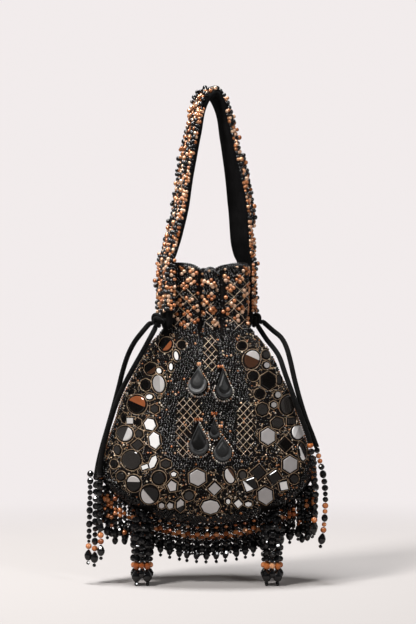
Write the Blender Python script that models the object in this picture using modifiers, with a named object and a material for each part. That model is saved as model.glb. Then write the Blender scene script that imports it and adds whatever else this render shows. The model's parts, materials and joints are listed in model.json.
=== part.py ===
"""Potli bag: a gathered drawstring pouch with mirror work, hung by a beaded hand strap.

The pouch is a mirrored and beaded outer shell over a velvet lining with a patch pocket. Two drawstring
cords run round the neck between them. Each cord leaves at one side through an eyelet in the strap's end,
is knotted there, and falls as two tails that end in bead strands. A bead fringe hangs from the curved
bottom seam, two thick bead tassels hang in front of it, and five teardrop stones are sewn on the front.

Metres, +Z up. The front faces -Y. The origin is on the floor under the pouch's middle.
"""

import math

import bmesh
import bpy
from mathutils import Matrix, Vector

# Pouch, in metres
BELLY_WIDTH = 0.186
BELLY_DEPTH = 0.092
BELLY_RISE = 0.049  # height of the widest level above the pouch's lowest point
NECK_RISE = 0.182  # height of the drawn neck above the pouch's lowest point
NECK_WIDTH = 0.077
NECK_DEPTH = 0.049
COLLAR_HEIGHT = 0.050
COLLAR_WIDTH = 0.078
COLLAR_DEPTH = 0.054
COLLAR_DIP = 0.009  # how far the collar's edge drops at a pleat
WALL = 0.0022
PLEAT_DEPTH = 0.29  # share of the radius that a pleat takes at the neck
PLEAT_START = 0.40  # share of the way from belly to neck where the pleats begin
PLEAT_SPREAD = 8.0  # degrees over which a pleat fades
PLEATS = (-180.0, -97.0, -73.0, 0.0, 83.0, 107.0)  # degrees round the pouch, -90 is the front

# Swell from neck to belly: share of the height, share of the swell
SWELL = (
    (0.0, 1.0),
    (0.19, 0.90),
    (0.33, 0.775),
    (0.46, 0.69),
    (0.60, 0.58),
    (0.73, 0.455),
    (0.81, 0.355),
    (0.88, 0.205),
    (0.94, 0.07),
    (1.0, 0.0),
)
BOTTOM_ROUND = 0.56  # power of the bottom's curve, 0.5 is a true ellipse

# Lining and pocket
LINING_THICKNESS = 0.0014
LINING_GAP = 0.0014
LINING_TOP_INSET = 0.020  # how far the lining's edge lies below the collar's edge
POCKET_WIDTH = 0.054
POCKET_HEIGHT = 0.056
POCKET_THICKNESS = 0.0012
POCKET_RISE = 0.050
POCKET_SLACK = 0.003

# Cords
CORD_DIAMETER = 0.0046
CORD_GAP = 0.0004
DRAWN_HALF_HEIGHT = CORD_DIAMETER + CORD_GAP * 5  # the lining is drawn in this far above and below the neck
DRAWN_FADE = 0.010
CORD_EXIT = 0.0145  # the knot's stem starts this far inside the strap
KNOT_RADIUS = 0.0068
STEM_RADIUS = 0.0048

# Strap
STRAP_TURN = math.radians(28.0)  # the strap's plane is turned round Z from the pouch's
STRAP_WIDTH = 0.024
STRAP_THICKNESS = 0.0042
STRAP_RISE = 0.2045  # neck to the middle of the band at its top
STRAP_END_RADIUS = 0.0080
STRAP_TAPER = 0.012  # height over which the end widens to the full band
STRAP_CLEARANCE = 0.0018  # strap end to collar
EYELET_CLEARANCE = 0.0005
STRAND_COUNT = 4
STRAND_GAP = 0.0006
STRAND_DEPTH = 0.0052
STRAND_SCALLOP = 0.0013
STRAND_START = 0.0105  # height above the neck where the beads begin

# The strap's half outline: share of its rise, share of its half span
STRAP_CURVE = (
    (0.0, 1.0),
    (0.13, 1.0),
    (0.25, 0.985),
    (0.30, 0.905),
    (0.402, 0.81),
    (0.507, 0.72),
    (0.612, 0.638),
    (0.716, 0.535),
    (0.821, 0.425),
    (0.926, 0.27),
    (0.978, 0.145),
    (1.0, 0.0),
)
STRAP_LEAN = 0.0037  # how far the strap's upper half sways to the right
STRAP_STEPS = 64
# The band's twist from its plane in degrees, by the share of its length from the left end
STRAP_TWIST = (
    (0.0, 0.0),
    (0.10, 0.0),
    (0.17, -9.0),
    (0.44, -8.0),
    (0.50, 0.0),
    (0.56, 8.0),
    (0.60, 7.0),
    (0.652, 3.0),
    (0.705, -5.0),
    (0.755, -12.0),
    (0.84, -10.0),
    (0.91, 0.0),
    (1.0, 0.0),
)

# Bead strands, in metres across
BEAD = 0.0052
COPPER_BEAD = 0.0062
DROP_BEAD = 0.0072
DROP_LENGTH = 0.0105
END_BEAD = 0.0034
THREAD = 0.0016

FRINGE_PITCH = 0.0086
FRINGE_LENGTH = 0.0362
FRINGE_SIDE_EXTRA = 0.010
FRINGE_TOP_RISE = 0.068  # how far up the side seam the fringe is sewn
NET_DROP = 0.0185
NET_THICKNESS = 0.0048
SEAM_GAP = 0.0006

FOOT_OFFSET = 0.058
FOOT_FORWARD = 0.0135
FOOT_STRANDS = 4
FOOT_LARGE_BEADS = 3
FOOT_SMALL_BEADS = 2
FOOT_BEAD = 0.0076
FOOT_SMALL_BEAD = 0.0058
FOOT_DROP = 0.0080
FOOT_DROP_LENGTH = 0.0112
FOOT_CAP_RADIUS = 0.0078
FOOT_CAP_HEIGHT = 0.013
FOOT_CLEARANCE = 0.0009

STONE_THICKNESS = 0.0034
STONE_CHAMFER = 0.0009

MIRROR_RADIUS = 0.0080
MIRROR_SINK = 0.0019
MIRROR_PROUD = 0.0010

# Large mirrors of the front panel: share across, share up to the neck, width and height in
# shares of the large mirror, turn in degrees, sides. The back panel has the same ones.
MIRRORS = (
    (-0.105, 0.217, 1.00, 0.95, 0, 6),
    (0.032, 0.078, 1.05, 0.78, 0, 8),
    (0.075, 0.167, 0.74, 0.74, 45, 4),
    (0.218, 0.227, 0.62, 0.86, 14, 6),
    (0.600, 0.133, 0.92, 0.98, 8, 6),
    (0.412, 0.178, 0.80, 0.76, 50, 4),
    (0.650, 0.226, 0.74, 0.74, 45, 4),
    (0.810, 0.284, 0.92, 1.00, 0, 6),
    (0.620, 0.420, 0.92, 0.98, 0, 6),
    (0.870, 0.440, 0.80, 0.82, 0, 10),
    (0.930, 0.580, 0.80, 1.02, -22, 10),
    (0.790, 0.700, 0.84, 0.98, 0, 6),
    (0.640, 0.800, 0.80, 0.96, -20, 10),
    (-0.560, 0.138, 0.92, 0.92, 0, 10),
    (-0.720, 0.196, 0.82, 0.86, 20, 6),
    (-0.790, 0.302, 1.05, 1.05, 0, 10),
    (-0.560, 0.402, 0.72, 0.96, 16, 6),
    (-0.860, 0.440, 0.88, 0.88, 0, 10),
    (-0.850, 0.588, 1.00, 1.00, 0, 10),
    (-0.640, 0.676, 0.70, 0.96, 20, 10),
)

# Teardrop stones sewn on the front: name, across and height of the point above the pouch's bottom,
# width, length, and how far it stands off its middle so that its edges clear the folds
STONES = (
    ("upper_left", -0.0077, 0.1400, 0.0165, 0.0240, 0.0021),
    ("upper_right", 0.0150, 0.1400, 0.0150, 0.0280, 0.0),
    ("lower_left", -0.0070, 0.0920, 0.0170, 0.0285, 0.0003),
    ("lower_middle", 0.0064, 0.0962, 0.0085, 0.0180, 0.0004),
    ("lower_right", 0.0135, 0.0800, 0.0155, 0.0215, 0.0003),
)

# Free cord tails, chosen by eye: the way they leave the knot, then x, y, and height above the neck
TAILS = {
    "left_tail_outer": (
        (-0.91, 0.08, -0.42),
        (-0.0575, -0.0258, -0.0105),
        (-0.0645, -0.0200, -0.0195),
        (-0.0705, -0.0148, -0.0310),
        (-0.0752, -0.0112, -0.0450),
        (-0.0790, -0.0095, -0.0600),
        (-0.0838, -0.0085, -0.0780),
        (-0.0892, -0.0080, -0.0970),
        (-0.0938, -0.0078, -0.1130),
        (-0.0972, -0.0078, -0.1270),
        (-0.0990, -0.0078, -0.1370),
    ),
    "left_tail_inner": (
        (-0.32, -0.10, -0.94),
        (-0.0500, -0.0282, -0.0150),
        (-0.0560, -0.0255, -0.0260),
        (-0.0640, -0.0222, -0.0400),
        (-0.0728, -0.0195, -0.0560),
        (-0.0800, -0.0175, -0.0720),
        (-0.0862, -0.0160, -0.0900),
        (-0.0912, -0.0145, -0.1080),
        (-0.0945, -0.0138, -0.1240),
        (-0.0958, -0.0136, -0.1345),
    ),
    "right_tail_outer": (
        (0.94, -0.18, -0.28),
        (0.0600, 0.0200, -0.0095),
        (0.0670, 0.0122, -0.0155),
        (0.0715, 0.0045, -0.0240),
        (0.0748, -0.0010, -0.0360),
        (0.0785, -0.0050, -0.0530),
        (0.0832, -0.0075, -0.0710),
        (0.0885, -0.0090, -0.0880),
        (0.0935, -0.0095, -0.1010),
        (0.0965, -0.0098, -0.1090),
    ),
    "right_tail_inner": (
        (0.42, -0.42, -0.81),
        (0.0545, 0.0195, -0.0180),
        (0.0605, 0.0105, -0.0255),
        (0.0655, -0.0005, -0.0340),
        (0.0700, -0.0090, -0.0480),
        (0.0765, -0.0130, -0.0660),
        (0.0830, -0.0150, -0.0840),
        (0.0890, -0.0158, -0.1000),
        (0.0915, -0.0160, -0.1080),
    ),
}

# Bead strands on the tails, chosen by eye: the tail, how far from its end the strand starts, then the route
TAIL_STRANDS = {
    "left_cord_strand_1": (
        "left_tail_outer",
        (-0.0054, 0.0, 0.0026),
        ((-0.1052, -0.0080, -0.1780), (-0.1066, -0.0076, -0.2190)),
    ),
    "left_cord_strand_2": (
        "left_tail_outer",
        (-0.0001, 0.0, -0.0004),
        ((-0.0998, -0.0086, -0.1780), (-0.1010, -0.0092, -0.2232)),
    ),
    "left_cord_strand_3": (
        "left_tail_inner",
        (0.0, 0.0, -0.0004),
        ((-0.0950, -0.0146, -0.1760), (-0.0945, -0.0150, -0.2165)),
    ),
    "right_cord_strand_1": (
        "right_tail_outer",
        (0.0001, 0.0, -0.0004),
        ((0.1052, -0.0102, -0.1460), (0.1050, -0.0100, -0.1800), (0.1012, -0.0098, -0.2040)),
    ),
    "right_cord_strand_2": (
        "right_tail_inner",
        (0.0001, 0.0, -0.0004),
        ((0.0966, -0.0164, -0.1440), (0.0960, -0.0164, -0.1740), (0.0932, -0.0160, -0.1970)),
    ),
}

GAP = 0.0003
CURVE_STEPS = 4
PRISM_REACH = 0.14


def seam_share(half_width):
    """Share of the belly's rise at which the bottom seam is this far from the middle."""
    share = min(abs(half_width) / (BELLY_WIDTH / 2), 1.0)
    return 1.0 - math.sqrt(max(0.0, 1.0 - share ** (1.0 / BOTTOM_ROUND)))


def foot_surface_rise():
    """Height above the pouch's lowest point of its underside where a foot tassel is sewn."""
    across = FOOT_OFFSET / (BELLY_WIDTH / 2)
    along = FOOT_FORWARD / (BELLY_DEPTH / 2)
    share = math.hypot(across, along)
    return BELLY_RISE * (1.0 - math.sqrt(1.0 - share ** (1.0 / BOTTOM_ROUND)))


def foot_beads():
    """The beads of a foot strand from the top, as (width, length)."""
    large, small = (FOOT_BEAD, FOOT_BEAD), (FOOT_SMALL_BEAD, FOOT_SMALL_BEAD)
    copper, end = (COPPER_BEAD, COPPER_BEAD), (END_BEAD, END_BEAD)
    return [large] * FOOT_LARGE_BEADS + [small] * FOOT_SMALL_BEADS + [copper, (FOOT_DROP, FOOT_DROP_LENGTH), end]


def foot_strand_length():
    return sum(length for _, length in foot_beads())


FOOT_LENGTH = FOOT_CLEARANCE + FOOT_CAP_HEIGHT + GAP + foot_strand_length()
BOTTOM = FOOT_LENGTH - foot_surface_rise()
BELLY = BOTTOM + BELLY_RISE
NECK = BOTTOM + NECK_RISE
RIM = NECK + COLLAR_HEIGHT

STRAP_AXIS = Vector((math.cos(STRAP_TURN), math.sin(STRAP_TURN), 0.0))
STRAP_ACROSS = Vector((-math.sin(STRAP_TURN), math.cos(STRAP_TURN), 0.0))
UP = Vector((0.0, 0.0, 1.0))


def support(width, depth):
    """How far an ellipse of these axes reaches along the strap's axis."""
    return math.hypot(width / 2 * STRAP_AXIS.x, depth / 2 * STRAP_AXIS.y)


STRAP_INNER = support(COLLAR_WIDTH, COLLAR_DEPTH) + STRAP_CLEARANCE
STRAP_HALF_SPAN = STRAP_INNER + STRAP_THICKNESS / 2
STRAP_OUTER = STRAP_INNER + STRAP_THICKNESS
KNOT_CENTRE = STRAP_OUTER + GAP + KNOT_RADIUS * 0.95


def between(table, x):
    """The height of a smooth curve through a table of (x, y) rows, by Catmull-Rom tangents."""
    rows = list(table)
    if x <= rows[0][0]:
        return rows[0][1]
    for i in range(len(rows) - 1):
        (x0, y0), (x1, y1) = rows[i], rows[i + 1]
        if x <= x1:
            before = rows[i - 1] if i else rows[i]
            after = rows[i + 2] if i + 2 < len(rows) else rows[i + 1]
            m0 = (y1 - before[1]) / (x1 - before[0])
            m1 = (after[1] - y0) / (after[0] - x0)
            span = x1 - x0
            t = (x - x0) / span
            return (
                y0 * (2 * t**3 - 3 * t**2 + 1)
                + m0 * span * (t**3 - 2 * t**2 + t)
                + y1 * (3 * t**2 - 2 * t**3)
                + m1 * span * (t**3 - t**2)
            )
    return rows[-1][1]


def smooth_step(x):
    x = max(0.0, min(1.0, x))
    return x * x * (3 - 2 * x)


def half_axes(z):
    """Half width and half depth of the pouch at a height, before its pleats."""
    if z <= BELLY:
        share = max(0.0, (z - BOTTOM) / BELLY_RISE)
        swell = (1.0 - (1.0 - share) ** 2) ** BOTTOM_ROUND
        return BELLY_WIDTH / 2 * swell, BELLY_DEPTH / 2 * swell
    if z <= NECK:
        swell = between(SWELL, (z - BELLY) / (NECK - BELLY))
        return (
            (NECK_WIDTH + (BELLY_WIDTH - NECK_WIDTH) * swell) / 2,
            (NECK_DEPTH + (BELLY_DEPTH - NECK_DEPTH) * swell) / 2,
        )
    swell = math.sin(min(1.0, (z - NECK) / COLLAR_HEIGHT * 1.5) * math.pi / 2)
    return (
        (NECK_WIDTH + (COLLAR_WIDTH - NECK_WIDTH) * swell) / 2,
        (NECK_DEPTH + (COLLAR_DEPTH - NECK_DEPTH) * swell) / 2,
    )


def pleat_at(degrees):
    """How deep in a pleat a direction lies, 1 at its fold."""
    total = 0.0
    for fold in PLEATS:
        away = abs((degrees - fold + 180.0) % 360.0 - 180.0)
        total += math.exp(-away / PLEAT_SPREAD)
    return min(1.0, total)


def pleat_depth(z):
    """Share of the radius that a pleat takes at a height. The pleats run out above the belly."""
    start = BELLY + (NECK - BELLY) * PLEAT_START
    return PLEAT_DEPTH * smooth_step((z - start) / (NECK - start))


def shell_point(degrees, z):
    """A point of the pouch's outer surface."""
    width, depth = half_axes(z)
    keep = 1.0 - pleat_depth(z) * pleat_at(degrees)
    angle = math.radians(degrees)
    return Vector((width * math.cos(angle) * keep, depth * math.sin(angle) * keep, z))


def front_frame(across, z, side=-1):
    """Point and outward normal of the front surface, or of the back with side 1, at a distance across."""
    width = half_axes(z)[0]
    degrees = side * math.degrees(math.acos(max(-0.999, min(0.999, across / width))))
    small = 0.5
    point = shell_point(degrees, z)
    along = shell_point(degrees + small, z) - shell_point(degrees - small, z)
    rise = 0.0008
    upward = shell_point(degrees, z + rise) - shell_point(degrees, z - rise)
    return point, along.cross(upward).normalized()


def reset_scene():
    for old in list(bpy.data.objects):
        bpy.data.objects.remove(old)
    for name in ("potli_bag", "cutters"):
        bpy.context.scene.collection.children.link(bpy.data.collections.new(name))


def finish_material(name, colour, roughness, metallic=0.0):
    made = bpy.data.materials.get(name)
    if made:
        return made
    made = bpy.data.materials.new(name)
    made.use_nodes = True
    shader = made.node_tree.nodes["Principled BSDF"]
    shader.inputs["Base Color"].default_value = (*colour, 1.0)
    shader.inputs["Roughness"].default_value = roughness
    shader.inputs["Metallic"].default_value = metallic
    made.diffuse_color = (*colour, 1.0)
    return made


def velvet():
    return finish_material("black_velvet", (0.012, 0.011, 0.012), 0.85)


def beadwork():
    return finish_material("beaded_mirror_work", (0.085, 0.070, 0.058), 0.35)


def black_beads():
    return finish_material("black_glass_beads", (0.010, 0.010, 0.011), 0.08)


def strap_pearls():
    return finish_material("copper_pearls", (0.52, 0.27, 0.13), 0.25)


def suede():
    return finish_material("black_suede", (0.030, 0.026, 0.025), 0.95)


def cut_stone():
    return finish_material("dark_glass_stone", (0.050, 0.055, 0.058), 0.06)


def add_node(name, data, material, collection="potli_bag"):
    made = bpy.data.objects.new(name, data)
    made.data.materials.clear()
    made.data.materials.append(material)
    bpy.data.collections[collection].objects.link(made)
    return made


def as_helper(obj):
    obj.hide_render = True
    obj.display_type = "WIRE"
    return obj


def mesh_from_bmesh(name, bm):
    mesh = bpy.data.meshes.new(name)
    bm.to_mesh(mesh)
    bm.free()
    mesh.shade_smooth()
    return mesh


def extruded_rings(bm, rings):
    """Ring after ring of vertices, each extruded from the one before. Returns the first and last ring's edges."""
    bmesh.ops.create_circle(bm, segments=len(rings[0]), radius=0.01)
    ring = list(bm.verts)
    start = edges = list(bm.edges)
    for vert, place in zip(ring, rings[0]):
        vert.co = place
    for places in rings[1:]:
        made = bmesh.ops.extrude_edge_only(bm, edges=edges)["geom"]
        new = {g for g in made if isinstance(g, bmesh.types.BMVert)}
        edges = [g for g in made if isinstance(g, bmesh.types.BMEdge) and g.verts[0] in new and g.verts[1] in new]
        above = {v: edge.other_vert(v) for v in ring for edge in v.link_edges if edge.other_vert(v) in new}
        ring = [above[v] for v in ring]
        for vert, place in zip(ring, places):
            vert.co = place
    return start, edges


def lofted_cup(name, rings):
    """An open cup through rings of points, its first ring closed to a pole."""
    bm = bmesh.new()
    start, _ = extruded_rings(bm, rings)
    pole = bmesh.ops.contextual_create(bm, geom=start)["faces"]
    bmesh.ops.poke(bm, faces=pole)
    bmesh.ops.recalc_face_normals(bm, faces=bm.faces)
    return mesh_from_bmesh(name, bm)


def shell_directions():
    """Directions round the pouch: close together at each pleat, wider on the lobes between."""
    near = (0.0, 4.0, 9.0, 16.0, 27.0)
    found = []
    for i, fold in enumerate(PLEATS):
        width = (PLEATS[(i + 1) % len(PLEATS)] - fold) % 360.0
        steps = [s for s in near if s < width / 2 - 2.0]
        found += [fold + s for s in steps] + [fold + width / 2] + [fold + width - s for s in reversed(steps[1:])]
    return found


def shell_levels():
    low = [BOTTOM + BELLY_RISE * share for share in (0.012, 0.09, 0.27, 0.52, 0.78, 1.0)]
    body = [BELLY + (NECK - BELLY) * share for share in (0.19, 0.40, 0.60, 0.75, 0.86, 0.94, 1.0)]
    collar = [NECK + COLLAR_HEIGHT * share for share in (0.22, 0.5, 0.8, 1.0)]
    return low + body + collar


def add_outer_shell():
    """The embroidered outer bag: pleated neck and collar, smooth belly, rounded bottom."""
    directions = shell_directions()
    rings = []
    for level in shell_levels():
        ring = []
        for degrees in directions:
            point = shell_point(degrees, level)
            collar_share = max(0.0, (level - NECK) / COLLAR_HEIGHT)
            point.z -= COLLAR_DIP * collar_share * pleat_at(degrees)
            ring.append(point)
        rings.append(ring)
    obj = add_node("outer_shell", lofted_cup("outer_shell", rings), beadwork())
    wall = obj.modifiers.new("wall", "SOLIDIFY")
    wall.thickness = WALL
    wall.offset = -1.0
    for side in (-1, 1):
        hole = add_along_strap("exit_hole", side, STEM_RADIUS + EYELET_CLEARANCE, 0.020, STRAP_INNER)
        cut(obj, hole)
    fuse(obj, add_mirrors())
    return obj


def lining_axes(z, inset):
    """Half axes of the lining: inside the pleats, and drawn in further by the cords at the neck."""
    keep = 1.0 - pleat_depth(z)
    away = WALL + LINING_GAP + inset
    free = [axis * keep - away for axis in half_axes(z)]
    cord_room = CORD_DIAMETER + 2 * CORD_GAP
    drawn = [axis * (1.0 - PLEAT_DEPTH) - away - cord_room for axis in (NECK_WIDTH / 2, NECK_DEPTH / 2)]
    share = 1.0 - smooth_step((abs(z - NECK) - DRAWN_HALF_HEIGHT) / DRAWN_FADE)
    return tuple(a + (b - a) * share for a, b in zip(free, drawn))


def lining_levels():
    floor = BOTTOM + WALL + LINING_GAP
    low = [floor + (BELLY - floor) * share for share in (0.02, 0.13, 0.38, 1.0)]
    body = [BELLY + (NECK - BELLY) * share for share in (0.28, 0.55, 0.75)]
    reach = DRAWN_HALF_HEIGHT + DRAWN_FADE
    neck = [NECK + lift for lift in (-reach, -DRAWN_HALF_HEIGHT, DRAWN_HALF_HEIGHT, reach)]
    return low + body + neck + [RIM - LINING_TOP_INSET]


def lining_point(degrees, z, inset=0.0):
    """A point of the lining's outer face, or further in by inset."""
    floor = BOTTOM + WALL + LINING_GAP
    angle = math.radians(degrees)
    if z < BELLY:
        share = max(0.0, (z - floor) / (BELLY - floor))
        swell = (1.0 - (1.0 - share) ** 2) ** BOTTOM_ROUND
        width, depth = (axis * swell for axis in lining_axes(BELLY, inset))
    else:
        width, depth = lining_axes(z, inset)
    return Vector((width * math.cos(angle), depth * math.sin(angle), z))


def add_lining():
    """The velvet inner bag, sewn in at the collar and drawn in by the cords at the neck."""
    steps = 32
    directions = [360.0 * i / steps for i in range(steps)]
    rings = [[lining_point(d, level) for d in directions] for level in lining_levels()]
    obj = add_node("lining", lofted_cup("lining", rings), velvet())
    wall = obj.modifiers.new("wall", "SOLIDIFY")
    wall.thickness = LINING_THICKNESS
    wall.offset = -1.0


def add_pocket():
    """The suede patch pocket on the lining's back, open at its top edge."""
    bm = bmesh.new()
    bmesh.ops.create_grid(bm, x_segments=6, y_segments=4, size=0.5)
    for vert in bm.verts:
        across = vert.co.x * POCKET_WIDTH
        z = BOTTOM + POCKET_RISE + (vert.co.y + 0.5) * POCKET_HEIGHT
        away = LINING_THICKNESS + GAP * 2 + POCKET_THICKNESS
        away += POCKET_SLACK * (1.0 - (2 * vert.co.x) ** 2) * (vert.co.y + 0.5)
        width = lining_axes(z, 0.0)[0]
        degrees = math.degrees(math.acos(across / width))
        vert.co = lining_point(degrees, z, away)
    bmesh.ops.recalc_face_normals(bm, faces=bm.faces)
    obj = add_node("mini_pocket", mesh_from_bmesh("mini_pocket", bm), suede())
    sheet = obj.modifiers.new("sheet", "SOLIDIFY")
    sheet.thickness = POCKET_THICKNESS
    sheet.offset = 0.0


def prism(bm, sides, width, height, depth, matrix):
    """A closed prism of this many sides, centred, placed by a matrix."""
    made = bmesh.ops.create_cone(
        bm, cap_ends=True, segments=sides, radius1=0.5, radius2=0.5, depth=1.0
    )["verts"]
    size = Matrix.Diagonal((width, height, depth, 1.0))
    bmesh.ops.transform(bm, verts=made, matrix=matrix @ size)
    return made


def facing(point, normal, turn=0.0):
    """A frame at a point whose Z is the normal and whose Y points up the surface, turned about the normal."""
    side = UP.cross(normal).normalized()
    upward = normal.cross(side)
    frame = Matrix((side, upward, normal)).transposed().to_4x4()
    return Matrix.Translation(point) @ frame @ Matrix.Rotation(turn, 4, "Z")


def add_mirrors():
    """The large mirrors as low bosses on the shell, front and back."""
    bm = bmesh.new()
    for side in (-1, 1):
        for across, up, width, height, turn, sides in MIRRORS:
            z = BOTTOM + NECK_RISE * up
            point, normal = front_frame(across * half_axes(z)[0] * 0.97, z, side)
            middle = point + normal * (MIRROR_PROUD - MIRROR_SINK) / 2
            frame = facing(middle, normal, math.radians(turn))
            if sides == 6:
                frame = frame @ Matrix.Rotation(math.radians(30.0), 4, "Z")
            size = MIRROR_RADIUS * 2
            prism(bm, sides, width * size, height * size, MIRROR_PROUD + MIRROR_SINK, frame)
    return as_helper(add_node("mirror_bosses", mesh_from_bmesh("mirror_bosses", bm), beadwork(), "cutters"))


def boolean(target, other, operation):
    change = target.modifiers.new(other.name, "BOOLEAN")
    change.operation = operation
    change.object = other
    change.solver = "EXACT"


def cut(target, other):
    boolean(target, other, "DIFFERENCE")


def fuse(target, other):
    boolean(target, other, "UNION")


def along_strap(side, distance, across=0.0, z=0.0):
    """A point given along the strap's axis, across it, and above the neck."""
    return STRAP_AXIS * (side * distance) + STRAP_ACROSS * across + UP * (NECK + z)


def strap_frame(side):
    """A turn that takes Z to the strap's axis on one side."""
    return (STRAP_AXIS * side).to_track_quat("Z", "Y").to_matrix().to_4x4()


def add_along_strap(name, side, radius, start, end):
    """A cylinder cutter along the strap's axis between two distances from the middle."""
    bm = bmesh.new()
    middle = Matrix.Translation(along_strap(side, (start + end) / 2)) @ strap_frame(side)
    prism(bm, 16, 2 * radius, 2 * radius, end - start, middle)
    return as_helper(add_node(name, mesh_from_bmesh(name, bm), velvet(), "cutters"))


def strap_stations(count):
    """Middle points of the band with its across and outward directions, evenly spaced from the left end."""
    shares = [i / 200 for i in range(201)]
    half = [(between([(i, row[1]) for i, row in enumerate(STRAP_CURVE)], s * (len(STRAP_CURVE) - 1)),
             between([(i, row[0]) for i, row in enumerate(STRAP_CURVE)], s * (len(STRAP_CURVE) - 1))) for s in shares]
    flat = [Vector((-span, rise)) for span, rise in half] + [Vector((span, rise)) for span, rise in half[-2::-1]]
    line = [
        Vector((p.x * STRAP_HALF_SPAN + STRAP_LEAN * smooth_step((p.y - 0.28) / 0.24), 0.0, p.y * STRAP_RISE))
        for p in flat
    ]
    length = sum((b - a).length for a, b in zip(line, line[1:]))
    found = []
    for i in range(count + 1):
        share = i / count
        here = along_route(line, share * length)
        before = along_route(line, max(0.0, share - 0.01) * length)
        after = along_route(line, min(1.0, share + 0.01) * length)
        along = (after - before).normalized()
        frame = Matrix((STRAP_AXIS, STRAP_ACROSS, UP)).transposed()
        twist = Matrix.Rotation(math.radians(between(STRAP_TWIST, share)), 3, frame @ along)
        across = twist @ STRAP_ACROSS
        outward = twist @ (frame @ Vector((-along.z, 0.0, along.x)))
        found.append((frame @ here + UP * NECK, across, outward))
    return found


def swept(name, sections, material):
    """A solid through sections of the same number of corners."""
    bm = bmesh.new()
    for end in extruded_rings(bm, sections):
        bmesh.ops.contextual_create(bm, geom=end)
    bmesh.ops.recalc_face_normals(bm, faces=bm.faces)
    return add_node(name, mesh_from_bmesh(name, bm), material)


def band_section(station, left, right, low, high):
    """Four corners of a section, given its reach across the strap and outward from the band's middle."""
    middle, across, outward = station
    return [middle + across * a + outward * o for a, o in ((left, low), (right, low), (right, high), (left, high))]


def add_strap_band():
    """The velvet band: a looped strip with rounded ends, each with an eyelet for a cord."""
    half, thick = STRAP_WIDTH / 2, STRAP_THICKNESS / 2
    sections = [band_section(station, -half, half, -thick, thick) for station in strap_stations(STRAP_STEPS)]
    tail = UP * (STRAP_END_RADIUS + GAP)
    sections = [[p - tail for p in sections[0]]] + sections + [[p - tail for p in sections[-1]]]
    band = swept("strap_band", sections, velvet())
    trim = band.modifiers.new("rounded_ends", "BOOLEAN")
    trim.operation = "INTERSECT"
    trim.object = add_end_template()
    trim.solver = "EXACT"
    for side in (-1, 1):
        radius = STEM_RADIUS + EYELET_CLEARANCE
        cut(band, add_along_strap("eyelet", side, radius, STRAP_INNER - 0.004, STRAP_OUTER + 0.004))


def add_end_template():
    """The band's outline seen face on, long enough to trim both ends at once."""
    arc = [math.radians(200.0 + 20.0 * i) for i in range(8)]
    points = [(STRAP_END_RADIUS * math.cos(a), STRAP_END_RADIUS * math.sin(a)) for a in arc]
    half, top = STRAP_WIDTH / 2 + 0.0002, STRAP_RISE * 1.2
    points += [(half, STRAP_TAPER), (half, top), (-half, top), (-half, STRAP_TAPER)]
    bm = bmesh.new()
    bmesh.ops.create_circle(bm, cap_ends=True, segments=len(points), radius=0.01)
    bm.verts.ensure_lookup_table()
    for vert, (across, rise) in zip(bm.verts, points):
        vert.co = STRAP_ACROSS * across + UP * (NECK + rise) - STRAP_AXIS * PRISM_REACH / 2
    bmesh.ops.triangulate(bm, faces=bm.faces)
    made = bmesh.ops.extrude_face_region(bm, geom=bm.faces)["geom"]
    moved = [g for g in made if isinstance(g, bmesh.types.BMVert)]
    bmesh.ops.translate(bm, verts=moved, vec=STRAP_AXIS * PRISM_REACH)
    bmesh.ops.recalc_face_normals(bm, faces=bm.faces)
    return as_helper(add_node("end_template", mesh_from_bmesh("end_template", bm), velvet(), "cutters"))


def add_strap_strands():
    """Bead strands side by side on the band's outer face, each scalloped by its beads."""
    pitch = STRAP_WIDTH / STRAND_COUNT
    base = STRAP_THICKNESS / 2 + GAP * 1.5
    for number in range(STRAND_COUNT):
        place = (number - (STRAND_COUNT - 1) / 2) * pitch
        half = (pitch - STRAND_GAP) / 2
        sections = []
        for i, station in enumerate(strap_stations(STRAP_STEPS)):
            if station[0].z < NECK + STRAND_START:
                continue
            dent = STRAND_SCALLOP if (i + number) % 2 else 0.0
            sections.append(
                band_section(station, place - half + dent / 2, place + half - dent / 2, base, base + STRAND_DEPTH - dent)
            )
        swept(f"strap_bead_strand_{number + 1}", sections, strap_pearls())


def curve_to_node(name, guide, material):
    """Turns a curve object into a welded mesh object at the same place, and removes the curve."""
    bpy.context.view_layer.update()
    graph = bpy.context.evaluated_depsgraph_get()
    mesh = bpy.data.meshes.new_from_object(guide.evaluated_get(graph))
    mesh.name = name
    bm = bmesh.new()
    bm.from_mesh(mesh)
    bmesh.ops.remove_doubles(bm, verts=bm.verts, dist=1e-6)
    bm.to_mesh(mesh)
    bm.free()
    obj = add_node(name, mesh, material)
    obj.matrix_world = guide.matrix_world
    bpy.data.objects.remove(guide)
    return obj


def turned(name, profile, material, matrix, steps=12):
    """A turned solid about Z, from (radius, height) rows that run down its outer side."""
    mesh = bpy.data.meshes.new(name)
    bm = bmesh.new()
    verts = [bm.verts.new((radius, 0.0, height)) for radius, height in profile]
    for a, b in zip(verts, verts[1:]):
        bm.edges.new((a, b))
    bm.to_mesh(mesh)
    bm.free()
    obj = add_node(name, mesh, material)
    spin = obj.modifiers.new("spin", "SCREW")
    spin.steps = steps
    spin.render_steps = steps
    spin.use_merge_vertices = True
    spin.merge_threshold = 0.00005
    obj.matrix_world = matrix
    return obj


def add_knots():
    """A cord knot outside each strap end, with the doubled cord that passes through the eyelet."""
    start = STRAP_INNER - CORD_EXIT
    for name, side in (("left_knot", -1), ("right_knot", 1)):
        top = math.pi * 0.5
        low = -math.acos(STEM_RADIUS / KNOT_RADIUS)
        count = 6
        angles = [top + (low - top) * i / count for i in range(count + 1)]
        ball = [(KNOT_RADIUS * math.cos(a), KNOT_CENTRE + KNOT_RADIUS * math.sin(a)) for a in angles]
        profile = [(0.0, ball[0][1])] + ball[1:] + [(STEM_RADIUS, start), (0.0, start)]
        turned(name, profile, velvet(), Matrix.Translation(UP * NECK) @ strap_frame(side))


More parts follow.
